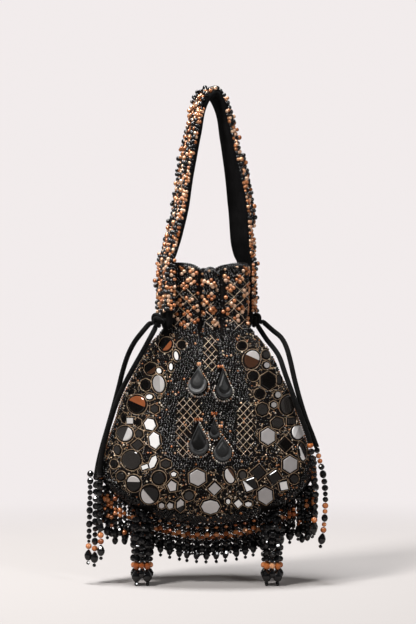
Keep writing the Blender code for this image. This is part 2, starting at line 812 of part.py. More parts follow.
def tube(name, points, diameter, material, sides=2, radii=None):
    """A round cord or bead strand: a bevelled poly line, with a width for each point where the strand is beaded."""
    curve = bpy.data.curves.new(name, "CURVE")
    curve.dimensions = "3D"
    curve.bevel_depth = diameter / 2
    curve.bevel_resolution = sides
    curve.use_fill_caps = True
    spline = curve.splines.new("POLY")
    spline.points.add(len(points) - 1)
    for i, (target, point) in enumerate(zip(spline.points, points)):
        target.co = (*point, 1.0)
        target.radius = radii[i] if radii else 1.0
    guide = bpy.data.objects.new(name + "_guide", curve)
    bpy.data.collections["cutters"].objects.link(guide)
    return curve_to_node(name, guide, material)


def smooth_route(points, steps):
    """A Catmull-Rom curve through the points."""
    found = []
    for i in range(len(points) - 1):
        p0 = points[max(0, i - 1)]
        p1, p2 = points[i], points[i + 1]
        p3 = points[min(len(points) - 1, i + 2)]
        for k in range(steps):
            t = k / steps
            found.append(
                0.5 * (2 * p1 + (p2 - p0) * t + (2 * p0 - 5 * p1 + 4 * p2 - p3) * t * t
                       + (3 * p1 - p0 - 3 * p2 + p3) * t**3)
            )
    return found + [points[-1]]


def add_neck_cords():
    """The two drawstrings inside the neck. Each runs round between shell and lining, open at its own side."""
    inner = 1.0 - PLEAT_DEPTH
    away = WALL + CORD_GAP * 2 + CORD_DIAMETER / 2
    width = NECK_WIDTH / 2 * inner - away
    depth = NECK_DEPTH / 2 * inner - away
    for name, side, lift in (("left_neck_cord", -1, 1), ("right_neck_cord", 1, -1)):
        height = lift * (CORD_DIAMETER / 2 + CORD_GAP)
        exit_angle = math.atan2(side * STRAP_AXIS.y / depth, side * STRAP_AXIS.x / width)
        span = math.radians(30.0)
        count = 20
        points = [
            Vector((width * math.cos(a), depth * math.sin(a), NECK + height))
            for a in (exit_angle + span + (2 * math.pi - 2 * span) * i / count for i in range(count + 1))
        ]
        reach = STRAP_INNER - CORD_EXIT - GAP
        beside = CORD_DIAMETER / 2 + CORD_GAP
        first, last = (
            [along_strap(side, reach - back, turn * side * beside, height) for back in (0.0, CORD_DIAMETER * 0.6)]
            for turn in (1, -1)
        )
        tube(name, first + points + last[::-1], CORD_DIAMETER, velvet())


def add_tails():
    for name, (leaving, *route) in TAILS.items():
        knot = along_strap(math.copysign(1, leaving[0]), KNOT_CENTRE)
        way = Vector(leaving).normalized()
        start = [knot + way * (KNOT_RADIUS + GAP + on) for on in (0.0, CORD_DIAMETER * 0.4)]
        points = start + [Vector((x, y, NECK + z)) for x, y, z in route]
        tube(name, points, CORD_DIAMETER, velvet())


def bead_radii(beads):
    """Distances down a strand and half widths there, for beads given as (width, length) from the top."""
    rows, down = [], 0.0
    for width, length in beads:
        rows.append((down, max(THREAD, width * 0.42) / 2))
        rows.append((down + length / 2, width / 2))
        down += length
    rows.append((down, beads[-1][0] * 0.35 / 2))
    return rows


def along_route(points, distance):
    """The point this far along a list of points."""
    for a, b in zip(points, points[1:]):
        length = (b - a).length
        if distance <= length or b is points[-1]:
            return a.lerp(b, distance / length)
        distance -= length
    return points[-1]


def bead_strand(name, route, beads, material, sides=1):
    rows = bead_radii(beads)
    points = [along_route(route, down) for down, _ in rows]
    return tube(name, points, 2.0, material, sides, [half for _, half in rows])


def ending_beads():
    """The lower end of a cord's bead strand: a copper bead, a drop and a small end bead."""
    return [(COPPER_BEAD, COPPER_BEAD * 0.9), (DROP_BEAD, DROP_LENGTH), (END_BEAD, END_BEAD)]


def add_tail_strands():
    for name, (tail, away, route) in TAIL_STRANDS.items():
        start = Vector(TAILS[tail][-1]) + Vector(away)
        points = smooth_route([Vector((x, y, NECK + z)) for x, y, z in (start, *route)], CURVE_STEPS)
        length = sum((b - a).length for a, b in zip(points, points[1:]))
        ending = ending_beads()
        room = length - sum(bead[1] for bead in ending)
        count = max(1, round(room / (BEAD * 1.06)))
        beads = [(BEAD, room / count)] * count + ending
        bead_strand(name, points, beads, black_beads())


def seam_stations():
    """Where fringe strands hang along the seam: (x, z) rows evenly spaced, left to right."""
    samples = 400
    top = BOTTOM + FRINGE_TOP_RISE
    right = []
    for i in range(samples + 1):
        z = BOTTOM + (top - BOTTOM) * (i / samples) ** 2
        right.append(Vector((half_axes(z)[0], z)))
    half_length = sum((b - a).length for a, b in zip(right, right[1:]))
    count = int(half_length / FRINGE_PITCH)
    found, travelled, wanted = [], 0.0, 0
    for a, b in zip(right, right[1:]):
        step = (b - a).length
        while wanted <= count and wanted * FRINGE_PITCH <= travelled + step:
            found.append(a.lerp(b, (wanted * FRINGE_PITCH - travelled) / step))
            wanted += 1
        travelled += step
    left = [Vector((-p.x, p.y)) for p in reversed(found[1:])]
    return left + found


def fringe_outside(x, z):
    """A strand sewn at this seam point hangs clear of the belly below it."""
    clear = BEAD / 2 + SEAM_GAP
    if z > BELLY - 0.012:
        return math.copysign(BELLY_WIDTH / 2 + clear, x)
    slope = smooth_step((abs(x) / (BELLY_WIDTH / 2) - 0.75) / 0.22)
    return x + math.copysign(clear * slope, x)


def add_fringe():
    """The bead fringe: a net along the bottom seam with drop-ended strands, one piece of stringing."""
    stations = seam_stations()
    bm = bmesh.new()
    rows = []
    for station in stations:
        x = fringe_outside(station.x, station.y)
        share = abs(station.x) / (BELLY_WIDTH / 2)
        drop = SEAM_GAP + 0.0012 * share**6 + (BEAD / 2 if station.y > BELLY - 0.012 else 0.0)
        rows.append((x, station.y - drop))
    spread = {}
    for x, top in rows:
        for y in (-1, 1):
            for low in (0, 1):
                z = top - low * NET_DROP
                spread[(x, top, y, low)] = bm.verts.new((x, y * NET_THICKNESS / 2, z))
    net_rows = [row for row in rows if row[1] < BELLY - 0.012]
    for one, two in zip(net_rows, net_rows[1:]):
        for y in (-1, 1):
            bm.faces.new([spread[(*one, y, 0)], spread[(*two, y, 0)], spread[(*two, y, 1)], spread[(*one, y, 1)]])
        for low in (0, 1):
            bm.faces.new([spread[(*one, -1, low)], spread[(*two, -1, low)], spread[(*two, 1, low)], spread[(*one, 1, low)]])
    for end in (net_rows[0], net_rows[-1]):
        bm.faces.new([spread[(*end, -1, 0)], spread[(*end, 1, 0)], spread[(*end, 1, 1)], spread[(*end, -1, 1)]])
    bmesh.ops.delete(bm, geom=[v for v in bm.verts if not v.link_faces], context="VERTS")
    bmesh.ops.recalc_face_normals(bm, faces=bm.faces)
    net = add_node("fringe", mesh_from_bmesh("fringe", bm), black_beads())
    strands = bpy.data.collections.new("fringe_strands")
    bpy.context.scene.collection.children.link(strands)
    for number, (x, top) in enumerate(rows):
        share = abs(x) / (BELLY_WIDTH / 2)
        length = FRINGE_LENGTH + FRINGE_SIDE_EXTRA * share**5
        ending = [(DROP_BEAD, DROP_LENGTH), (END_BEAD, END_BEAD)]
        room = length - sum(bead[1] for bead in ending)
        count = max(1, round(room / (BEAD * 1.1)))
        beads = [(BEAD, room / count)] * count + ending
        forward = (0.0, -0.0030, 0.0030)[number % 3] if share > 0.95 else 0.0
        start = top - (0.0004 if top < BELLY - 0.012 else 0.0)
        route = [Vector((x, forward, start)), Vector((x, forward, start - length))]
        made = bead_strand(f"fringe_strand_{number}", route, beads, black_beads())
        bpy.data.collections["potli_bag"].objects.unlink(made)
        strands.objects.link(as_helper(made))
    join = net.modifiers.new("strands", "BOOLEAN")
    join.operation = "UNION"
    join.operand_type = "COLLECTION"
    join.collection = strands
    join.solver = "EXACT"


def add_foot_tassels():
    """Two thick tassels on the front of the bottom: a cap bead over four bead strands."""
    for name, side in (("left", -1), ("right", 1)):
        top = FOOT_LENGTH - FOOT_CLEARANCE
        low = top - FOOT_CAP_HEIGHT
        middle = Vector((side * FOOT_OFFSET, -FOOT_FORWARD, 0.0))
        profile = [
            (0.0, top),
            (FOOT_CAP_RADIUS * 0.15, top),
            (FOOT_CAP_RADIUS * 0.6, top - FOOT_CAP_HEIGHT * 0.3),
            (FOOT_CAP_RADIUS, top - FOOT_CAP_HEIGHT * 0.68),
            (FOOT_CAP_RADIUS * 0.9, low),
            (0.0, low),
        ]
        turned(f"{name}_foot_cap", profile, black_beads(), Matrix.Translation(middle), 10)
        ring = (FOOT_BEAD + GAP * 2) / 2 / math.sin(math.pi / FOOT_STRANDS)
        for number in range(FOOT_STRANDS):
            angle = math.radians(45.0) + 2 * math.pi * number / FOOT_STRANDS
            around = Vector((math.cos(angle), math.sin(angle), 0.0)) * ring
            start = middle + around + UP * (low - GAP)
            route = [start, start - UP * foot_strand_length()]
            bead_strand(f"{name}_foot_strand_{number + 1}", route, foot_beads(), black_beads())


def teardrop(width, length):
    """The outline of a teardrop, its point at the top and its middle at the origin."""
    half = width / 2
    centre = -(length - half)
    start = math.acos(min(0.99, half / -centre)) * 0.80
    count = 9
    angles = [math.pi / 2 - start - (2 * math.pi - 2 * start) * i / count for i in range(count + 1)]
    rim = [Vector((half * math.cos(a), centre + half * math.sin(a) + length / 2)) for a in angles]
    return [Vector((0.0, length / 2))] + rim


def add_stones():
    """Teardrop glass stones with a chamfered edge, sewn flat on the front."""
    for name, across, rise, width, length, standoff in STONES:
        curve = bpy.data.curves.new(name, "CURVE")
        curve.dimensions = "2D"
        curve.fill_mode = "BOTH"
        curve.extrude = STONE_THICKNESS / 2 - STONE_CHAMFER
        curve.bevel_depth = STONE_CHAMFER
        curve.bevel_resolution = 0
        points = teardrop(width - 2 * STONE_CHAMFER, length - 2 * STONE_CHAMFER)
        spline = curve.splines.new("POLY")
        spline.points.add(len(points) - 1)
        for target, point in zip(spline.points, points):
            target.co = (point.x, point.y, 0.0, 1.0)
        spline.use_cyclic_u = True
        guide = bpy.data.objects.new(name + "_guide", curve)
        bpy.data.collections["cutters"].objects.link(guide)
        place, normal = front_frame(across, BOTTOM + rise - length / 2)
        lift = GAP + standoff + STONE_THICKNESS / 2
        guide.matrix_world = facing(place + normal * lift, normal)
        curve_to_node(f"teardrop_stone_{name}", guide, cut_stone())


def main():
    reset_scene()
    add_outer_shell()
    add_lining()
    add_pocket()
    add_strap_band()
    add_strap_strands()
    add_neck_cords()
    add_knots()
    add_tails()
    add_tail_strands()
    add_fringe()
    add_foot_tassels()
    add_stones()


main()
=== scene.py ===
import json
import math

import bmesh
import bpy
import numpy as np
from mathutils import Euler, Matrix, Vector

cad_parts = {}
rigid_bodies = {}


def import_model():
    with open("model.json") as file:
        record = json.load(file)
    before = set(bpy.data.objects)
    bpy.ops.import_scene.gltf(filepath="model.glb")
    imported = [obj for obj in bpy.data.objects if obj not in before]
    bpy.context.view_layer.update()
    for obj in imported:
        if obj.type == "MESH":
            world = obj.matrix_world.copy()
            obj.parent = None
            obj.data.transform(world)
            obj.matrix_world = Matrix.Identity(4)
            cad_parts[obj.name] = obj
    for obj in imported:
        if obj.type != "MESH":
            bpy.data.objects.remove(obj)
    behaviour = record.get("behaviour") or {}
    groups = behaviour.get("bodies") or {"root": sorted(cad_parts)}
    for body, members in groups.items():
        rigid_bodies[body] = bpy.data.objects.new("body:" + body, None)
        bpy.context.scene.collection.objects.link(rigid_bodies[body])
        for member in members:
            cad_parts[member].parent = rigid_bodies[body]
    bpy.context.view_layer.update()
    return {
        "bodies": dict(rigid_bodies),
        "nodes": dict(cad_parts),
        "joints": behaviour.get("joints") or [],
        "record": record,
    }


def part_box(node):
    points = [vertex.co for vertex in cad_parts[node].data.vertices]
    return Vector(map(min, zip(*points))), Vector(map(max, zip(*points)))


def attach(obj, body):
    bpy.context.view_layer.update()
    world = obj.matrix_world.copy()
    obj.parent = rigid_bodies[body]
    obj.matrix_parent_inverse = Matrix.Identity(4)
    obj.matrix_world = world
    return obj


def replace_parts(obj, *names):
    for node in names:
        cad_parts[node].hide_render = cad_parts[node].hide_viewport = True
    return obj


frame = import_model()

# Camera and stage
CAMERA_X = 0.0009
CAMERA_HEIGHT = 0.2439
CAMERA_DISTANCE = 1.70
CAMERA_LENS = 109.0
CAMERA_SENSOR = 36.0
BACKGROUND = (0.886, 0.838, 0.838)
FLOOR_NEAR = (0.368, 0.352, 0.347)
FLOOR_FAR = (0.492, 0.469, 0.461)
FLOOR_IN_GLASS = (0.13, 0.12, 0.115)
FLOOR_RADIUS = 40.0
FLOOR_DEPTHS = (-0.30, 0.35)  # Y of the near tone and of the far tone
FLOOR_FADE = (0.24, 0.80)  # distances from the middle between which the floor fades into the background
WORLD_LIGHT = (1.0, 0.88, 0.82)
WORLD_STRENGTH = 0.13
WORLD_IN_GLASS = (0.90, 0.88, 0.87)
WORLD_IN_GLASS_STRENGTH = (0.02, 0.22)  # in front of the bag and behind it
LAMP_AIM = (0.0, 0.0, 0.2)
# Lamps: name, place, size, power, colour
LAMPS = (
    ("key_lamp", (-0.90, -0.95, 1.55), 0.42, 38.0, (1.0, 0.975, 0.95)),
    ("fill_lamp", (1.0, -1.5, 0.9), 0.34, 10.0, (1.0, 1.0, 1.0)),
    ("top_lamp", (-0.20, -0.14, 1.7), 0.50, 36.0, (1.0, 1.0, 1.0)),
)

# One photograph pixel on the bag's middle plane, and where the bag's middle and the floor show
PIXEL = 0.0009
MIDDLE_PX = 207.0
FLOOR_PX = 583.0

# Pouch, as in the part's source
BELLY_WIDTH = 0.186
BELLY_DEPTH = 0.092
BELLY_RISE = 0.049
NECK_RISE = 0.182
NECK_WIDTH = 0.077
NECK_DEPTH = 0.049
COLLAR_HEIGHT = 0.050
COLLAR_WIDTH = 0.078
COLLAR_DEPTH = 0.054
COLLAR_DIP = 0.009
WALL = 0.0022
PLEAT_DEPTH = 0.29
PLEAT_START = 0.40
PLEAT_SPREAD = 8.0
PLEATS = (-180.0, -97.0, -73.0, 0.0, 83.0, 107.0)
SWELL = (
    (0.0, 1.0), (0.19, 0.90), (0.33, 0.775), (0.46, 0.69), (0.60, 0.58),
    (0.73, 0.455), (0.81, 0.355), (0.88, 0.205), (0.94, 0.07), (1.0, 0.0),
)
BOTTOM_ROUND = 0.56
BELLY_LEVELS = (0.002, 0.012, 0.03, 0.06, 0.1, 0.16, 0.24, 0.33, 0.44, 0.56, 0.7, 0.85)
LINING_LEVELS = (0.01, 0.04, 0.1, 0.2, 0.35, 0.55, 0.78)
LINING_THICKNESS = 0.0014
LINING_GAP = 0.0014
LINING_TOP_INSET = 0.020
POCKET_WIDTH = 0.054
POCKET_HEIGHT = 0.056
POCKET_THICKNESS = 0.0012
POCKET_RISE = 0.050
POCKET_SLACK = 0.003

# Cords and knots
CORD_DIAMETER = 0.0046
CORD_GAP = 0.0004
CORD_EXIT = 0.0145
CORD_RUN_ON = 0.0050
KNOT_RADIUS = 0.0068
GAP = 0.0003

# Strap
STRAP_TURN = math.radians(28.0)
STRAP_WIDTH = 0.024
STRAP_THICKNESS = 0.0042
STRAP_RISE = 0.2045
STRAP_END_RADIUS = 0.0080
STRAP_TAPER = 0.012
STRAP_CLEARANCE = 0.0018
STRAND_START = 0.0105
STRAP_CURVE = (
    (0.0, 1.0), (0.13, 1.0), (0.25, 0.985), (0.30, 0.905), (0.402, 0.81), (0.507, 0.72),
    (0.612, 0.638), (0.716, 0.535), (0.821, 0.425), (0.926, 0.27), (0.978, 0.145), (1.0, 0.0),
)
STRAP_LEAN = 0.0037
STRAP_COLUMNS = 6
STRAP_JET_RADII = (0.0018, 0.0025)
STRAP_PEARL_RADII = (0.0016, 0.0021)
STRAP_EDGE_RADII = (0.0014, 0.0019)
STRAP_SECOND_LAYER = 0.32
STRAP_TUFT = 9
STRAP_TWIST = (
    (0.0, 0.0), (0.10, 0.0), (0.17, -9.0), (0.44, -8.0), (0.50, 0.0), (0.56, 8.0), (0.60, 7.0),
    (0.652, 3.0), (0.705, -5.0), (0.755, -12.0), (0.84, -10.0), (0.91, 0.0), (1.0, 0.0),
)

# Fringe and tassels
BEAD = 0.0052
COPPER_BEAD = 0.0062
DROP_BEAD = 0.0072
DROP_LENGTH = 0.0105
END_BEAD = 0.0034
FRINGE_PITCH = 0.0086
FRINGE_LENGTH = 0.0362
FRINGE_SIDE_EXTRA = 0.010
FRINGE_TOP_RISE = 0.068
SEAM_GAP = 0.0006
FOOT_OFFSET = 0.058
FOOT_FORWARD = 0.0135
FOOT_STRANDS = 4
FOOT_BEAD = 0.0076
FOOT_SMALL_BEAD = 0.0058
FOOT_DROP = 0.0080
FOOT_STACK = (0.0078, 0.0066, 0.0084)
FOOT_FILLER = (0.0060, 0.0048, 0.0068, 0.0054, 0.0042, 0.0066)
FOOT_DROP_LENGTH = 0.0112
FOOT_CAP_HEIGHT = 0.013
# The cluster at a tassel's top: level below its top, bead radius, count and ring radius
TASSEL_RINGS = (
    (0.0016, 0.0016, 1, 0.0), (0.0052, 0.0028, 4, 0.0034), (0.0100, 0.0033, 6, 0.0060),
    (0.0165, 0.0034, 6, 0.0082), (0.0235, 0.0030, 7, 0.0086), (0.0300, 0.0025, 6, 0.0070),
)

STRAP_SWING_ROOM = 0.0003
STRAP_SWING_DEPTH = 0.016
TASSEL_SWING_WIDTH = 0.0105
TASSEL_SWING_RISE = 0.0175
SEAM_ROPE_BEAD = 0.0019
NET_ROW = 0.0027
SEED_PITCH = 0.0022
SEED_RADII = (0.00092, 0.00120)
SEED_GREYS = (0.0010, 0.0050)
SEED_LIFT = 0.75  # how far a seed bead's middle stands off the cloth, in its radii
GOLD_SHARE = 0.17
# share of panel seeds that are silver: partly real silver beads, partly painted glints
SILVER_AND_GLINT_SHARE = 0.06
PANEL_COPPER_SHARE = 0.025
BAND_COPPER_SHARE = 0.045
BAND_FILL = 0.72
LATTICE_FILL = 0.45
# share of seed beads kept in the folds, whose bare black ground is painted shade
FOLD_SHADE_FILL = 0.12
BAND_SEED = 0.74  # sizes of the band's, the silver (partly painted glints) and the collar's seeds as shares of the others'
SILVER_AND_GLINT_SEED = 0.62
COLLAR_SEED = 1.12
PEARL_CLEARANCE = 0.0021
PILE_DEPTH = 0.0004
THREAD_RELIEF = 0.0003
RING_THREAD = 0.00026
GOLD_THREAD = 0.00019

STONE_THICKNESS = 0.0034

# Heights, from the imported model
BOTTOM = 0.05454
BELLY = BOTTOM + BELLY_RISE
NECK = BOTTOM + NECK_RISE
RIM = NECK + COLLAR_HEIGHT

UP = Vector((0.0, 0.0, 1.0))
STRAP_AXIS = Vector((math.cos(STRAP_TURN), math.sin(STRAP_TURN), 0.0))
STRAP_ACROSS = Vector((-math.sin(STRAP_TURN), math.cos(STRAP_TURN), 0.0))
STRAP_INNER = math.hypot(COLLAR_WIDTH / 2 * STRAP_AXIS.x, COLLAR_DEPTH / 2 * STRAP_AXIS.y) + STRAP_CLEARANCE
STRAP_HALF_SPAN = STRAP_INNER + STRAP_THICKNESS / 2
KNOT_CENTRE = STRAP_INNER + STRAP_THICKNESS + GAP + KNOT_RADIUS * 0.95

# Teardrop stones: name, across, height of the point above the pouch's bottom, width, length, standoff,
# the grey of the rim and of the middle
STONES = (
    ("upper_left", -0.0077, 0.1400, 0.0165, 0.0240, 0.0021, 0.075, 0.010),
    ("upper_right", 0.0150, 0.1400, 0.0150, 0.0280, 0.0, 0.012, 0.003),
    ("lower_left", -0.0070, 0.0920, 0.0170, 0.0285, 0.0003, 0.032, 0.002),
    ("lower_middle", 0.0064, 0.0962, 0.0085, 0.0180, 0.0004, 0.020, 0.005),
    ("lower_right", 0.0135, 0.0800, 0.0155, 0.0215, 0.0003, 0.042, 0.012),
)

# Mirror tiles of the front: photograph x and y of the middle, width and height in pixels, sides, turn in
# degrees, the tone of its painted reflection and, if a part of it reflects something else, the painted tone
# of that part
MIRRORS = (
    (166, 345, 11, 13, 12, -25, "dark", "amber"), (181, 345, 6, 6, 10, 0, "dark"),
    (176, 356, 4, 9, 10, 10, "bright"), (171, 367, 3.5, 7, 10, 0, "bright"),
    (151, 369, 11, 11, 8, 10, "dark", "brown"), (159.5, 371, 5, 6, 8, 30, "bright"),
    (159, 384, 11.5, 17, 14, 10, "grey", "light"), (146, 385, 9, 10, 8, 0, "dark"),
    (137.5, 404.5, 17, 17, 14, 0, "dark", "amber"), (150, 397, 7, 5, 8, 0, "bright"),
    (155, 409, 8, 8, 6, 0, "dim_reflection"), (125, 418, 5, 9, 8, 8, "dark"),
    (131, 421, 8, 7, 4, 0, "light"), (138, 422.5, 6, 7, 6, 0, "dark"),
    (150.5, 424.5, 12, 13, 6, 20, "bright"), (125.5, 434, 15, 14, 12, 0, "dim_reflection", "light"),
    (139.5, 434, 7, 8, 6, 10, "dim_reflection"), (155, 440.5, 11.5, 17, 6, 8, "bright"),
    (138, 445, 10, 9, 4, 40, "dim_reflection"), (118, 450, 6, 9, 8, 10, "dim_reflection"),
    (132, 460, 18, 18, 14, 0, "dim_reflection"), (153.5, 462, 7, 15, 6, -24, "bright"),
    (145.5, 467, 8, 5, 4, 20, "bright"), (114.5, 464, 6, 7, 8, 0, "dark"),
    (166, 464, 10, 8, 6, 0, "dim_reflection"), (174, 474, 6, 5, 5, 0, "bright"),
    (121.5, 476, 7, 7, 10, 0, "dark"), (134, 483, 13, 15, 10, 12, "dark", "light"),
    (159, 478, 12, 12, 12, 0, "dark"), (172.5, 485.5, 10, 12, 5, 10, "light"),
    (150, 494, 17, 17, 12, 0, "dark", "light"), (162, 504.5, 6, 6, 6, 0, "light"),
    (170.5, 504.5, 7, 7, 5, 15, "light"), (180.5, 504.5, 8, 13, 6, 0, "light", "dark"),
    (189, 495, 10, 9, 8, 0, "dim_reflection"), (197.5, 477.5, 17.5, 16.5, 6, 4, "grey"),
    (214.5, 488, 12, 11, 4, 45, "grey"), (229.5, 475.5, 9.5, 15, 12, 14, "light", "brown"),
    (242.5, 475, 7, 8, 10, 0, "dim_reflection"), (210.5, 506, 18.5, 13.5, 8, 0, "light"),
    (228, 500.5, 4.5, 5.5, 6, 0, "bright"), (238, 502.5, 7.5, 7.5, 4, 40, "bright"),
    (248, 503, 7.5, 5, 6, 0, "bright"), (250, 484, 14, 13, 4, 20, "dark", "bright"),
    (258, 472.5, 13, 12, 4, 40, "dark"), (265, 495, 16, 17, 6, 4, "grey"),
    (274, 477, 12.5, 12, 4, 35, "dark"), (283, 485, 9, 10, 4, 12, "bright"),
    (293.5, 478.5, 7.5, 8, 10, 0, "dark"), (289.5, 464.5, 15.5, 17, 6, 0, "grey"),
    (301.5, 452, 6, 17, 10, 8, "dim_reflection", "bright"), (284.5, 444.5, 11, 12, 4, 45, "dark"),
    (267.5, 436.5, 15.5, 17, 6, 0, "grey"), (297, 432.5, 12, 13.5, 12, 0, "light", "bright"),
    (277, 423, 12, 11, 6, 12, "dim_reflection"), (301.5, 419.5, 6, 9, 6, -15, "bright"),
    (291, 421.5, 9, 7, 4, 0, "dim_reflection"), (287, 405, 13.5, 18, 14, -14, "dim_reflection"),
    (262, 409.5, 11, 11.5, 8, 0, "dim_reflection"), (273, 405, 6, 6, 6, 0, "grey"),
    (277, 395, 6, 6.5, 8, 0, "grey"), (259.5, 394, 9.5, 9, 8, 0, "dark"),
    (268, 381, 15.5, 17, 6, 0, "dark"), (253.5, 376, 8, 8, 10, 0, "dark"),
    (252, 359.5, 14, 17.5, 14, -16, "brown", "light"), (266, 355, 7, 7, 10, 0, "dim_reflection"),
    (266, 365.5, 6, 6, 8, 0, "grey"), (243, 346, 7, 7, 10, 0, "dark"),
    (263, 342, 4, 9, 8, -10, "dim_reflection"), (279, 380, 6, 9, 8, -10, "dark"),
)
# Tones of the mirrors' painted reflections: each tile's colour stands for what it reflects
TONES = {
    "bright": (0.84, 0.83, 0.82), "light": (0.52, 0.50, 0.49), "grey": (0.36, 0.345, 0.34),
    "dim_reflection": (0.030, 0.027, 0.025), "dark": (0.0045, 0.0038, 0.0035), "brown": (0.060, 0.027, 0.015),
    "amber": (0.26, 0.080, 0.030),
}
MIRROR_THICKNESS = 0.0010
MIRROR_RIM_PX = 1.7  # pixels from a tile's edge to its ring of thread

# The seed bead panel in the middle of the front: photograph y, left x, right x
PANEL_EDGES = (
    (300, 150, 262), (328, 168, 250), (338, 186, 232), (350, 182, 237), (370, 173, 243), (390, 166, 248),
    (410, 161, 252), (430, 160, 255), (450, 162, 255), (468, 172, 247), (470, 205, 205),
)
PANEL_BOTTOM_PX = 470.0

# The pouch's lower edge in the photograph, where the fringe is sewn on, and how high its black rows are
SEAM_EDGE = ((100, 462), (103, 472), (125, 498), (150, 511), (180, 519), (207, 522), (236, 519), (265, 511),
             (290, 497), (312, 466), (316, 458))
SEAM_BAND_PX = 6.5

# Places of thin gold lattice on the seed beads: x from, x to, y from and y to in the photograph, and a factor
# for the pitch
LATTICES = (
    (176, 202, 398, 458, 1.35), (236, 254, 402, 456, 1.35), (203, 218, 336, 372, 1.35),
    (170, 196, 284, 330, 2.2), (227, 253, 274, 330, 2.0), (206, 218, 300, 330, 2.0),
)
LATTICE_PITCH_PX = 5.4

# The two folds of the gathered front, left thin of beads so the black ground shows as painted shade:
# photograph x and half width, and how far down they run
FOLDS = ((199.6, 2.3), (222.6, 2.6))
FOLDS_END_PX = 352.0
FOLDS_TAPER_PX = 40.0

# Where short gold threads may lie in the photograph, how many places are tried and how many are kept
THREAD_BOX = (104, 312, 335, 515)
THREAD_TRIES = 1500
THREADS = 620

# Small bars of copper beads over the stones: photograph x and y, and the number of beads
COPPER_BARS = ((198.5, 419.6, 4), (214.2, 413.5, 3), (198.0, 364.5, 3), (221.0, 367.0, 3), (220.5, 426.5, 2))

# Pearl clusters of the collar and neck, in photograph pixels
COLLAR_PEARLS = (
    (182, 271), (192, 270), (184, 286), (199, 291), (180.5, 302.5), (195.5, 307), (193, 320), (211.5, 279),
    (216, 284), (211.5, 294), (213.5, 309), (215.5, 323), (227, 276), (245, 271), (256, 272), (231, 287),
    (249, 285), (257, 286), (234.5, 302.5), (250, 302), (258, 306), (238, 318), (177, 316), (174, 292),
    (203, 276), (222, 270), (239, 279), (190, 280), (243, 293), (189, 298), (225, 296), (205, 300),
    (241, 309), (187, 314), (229, 311), (202, 312), (247, 321), (184, 325),
)

# Clusters of pearls on the collar's sides: degrees round it and shares of its height
SIDE_PEARL_DEGREES = (8, 20, -14, 166, 192, 202, 154)
SIDE_PEARL_LEVELS = (0.18, 0.5, 0.84)

BLACK = (0.004, 0.004, 0.0045)
COPPERS = ((0.50, 0.19, 0.072), (0.38, 0.125, 0.040), (0.62, 0.30, 0.15), (0.78, 0.50, 0.33))
FRINGE_COPPERS = ((0.40, 0.12, 0.032), (0.26, 0.065, 0.016), (0.52, 0.19, 0.07), (0.62, 0.30, 0.15))
GOLDS = ((0.44, 0.31, 0.19), (0.30, 0.19, 0.105), (0.40, 0.18, 0.08), (0.66, 0.56, 0.45))
RING_GOLDS = ((0.44, 0.32, 0.21), (0.22, 0.145, 0.09))
PALES = ((0.46, 0.41, 0.37), (0.30, 0.24, 0.19), (0.42, 0.18, 0.08), (0.55, 0.50, 0.46))
RIM_BLACK = (0.006, 0.006, 0.006)
# Silver for seeds that are partly real silver beads and partly painted glints on the black, and for lattice
# thread
SILVERS = ((0.70, 0.68, 0.66), (0.45, 0.42, 0.40), (0.60, 0.48, 0.38))

# Free cord tails, as in the part's source: the way each leaves its knot, then x, y, height above the neck
TAILS = {
    "left_tail_outer": (
        (-0.91, 0.08, -0.42), (-0.0575, -0.0258, -0.0105), (-0.0645, -0.0200, -0.0195),
        (-0.0705, -0.0148, -0.0310), (-0.0752, -0.0112, -0.0450), (-0.0790, -0.0095, -0.0600),
        (-0.0838, -0.0085, -0.0780), (-0.0892, -0.0080, -0.0970), (-0.0938, -0.0078, -0.1130),
        (-0.0972, -0.0078, -0.1270), (-0.0990, -0.0078, -0.1370),
    ),
    "left_tail_inner": (
        (-0.32, -0.10, -0.94), (-0.0500, -0.0282, -0.0150), (-0.0560, -0.0255, -0.0260),
        (-0.0640, -0.0222, -0.0400), (-0.0728, -0.0195, -0.0560), (-0.0800, -0.0175, -0.0720),
        (-0.0862, -0.0160, -0.0900), (-0.0912, -0.0145, -0.1080), (-0.0945, -0.0138, -0.1240),
        (-0.0958, -0.0136, -0.1345),
    ),
    "right_tail_outer": (
        (0.94, -0.18, -0.28), (0.0600, 0.0200, -0.0095), (0.0670, 0.0122, -0.0155),
        (0.0715, 0.0045, -0.0240), (0.0748, -0.0010, -0.0360), (0.0785, -0.0050, -0.0530),
        (0.0832, -0.0075, -0.0710), (0.0885, -0.0090, -0.0880), (0.0935, -0.0095, -0.1010),
        (0.0965, -0.0098, -0.1090),
    ),
    "right_tail_inner": (
        (0.42, -0.42, -0.81), (0.0545, 0.0195, -0.0180), (0.0605, 0.0105, -0.0255),
        (0.0655, -0.0005, -0.0340), (0.0700, -0.0090, -0.0480), (0.0765, -0.0130, -0.0660),
        (0.0830, -0.0150, -0.0840), (0.0890, -0.0158, -0.1000), (0.0915, -0.0160, -0.1080),
    ),
}
TAIL_STRANDS = {
    "left_cord_strand_1": (
        "left_tail_outer", (-0.0054, 0.0, 0.0026), ((-0.1052, -0.0080, -0.1780), (-0.1066, -0.0076, -0.2190)),
    ),
    "left_cord_strand_2": (
        "left_tail_outer", (-0.0001, 0.0, -0.0004),
        ((-0.0998, -0.0086, -0.1780), (-0.1010, -0.0092, -0.2232)),
    ),
    "left_cord_strand_3": (
        "left_tail_inner", (0.0, 0.0, -0.0004), ((-0.0950, -0.0146, -0.1760), (-0.0945, -0.0150, -0.2165)),
    ),
    "right_cord_strand_1": (
        "right_tail_outer", (0.0001, 0.0, -0.0004),
        ((0.1052, -0.0102, -0.1460), (0.1050, -0.0100, -0.1800), (0.1012, -0.0098, -0.2040)),
    ),
    "right_cord_strand_2": (
        "right_tail_inner", (0.0001, 0.0, -0.0004),
        ((0.0966, -0.0164, -0.1440), (0.0960, -0.0164, -0.1740), (0.0932, -0.0160, -0.1970)),
    ),
}


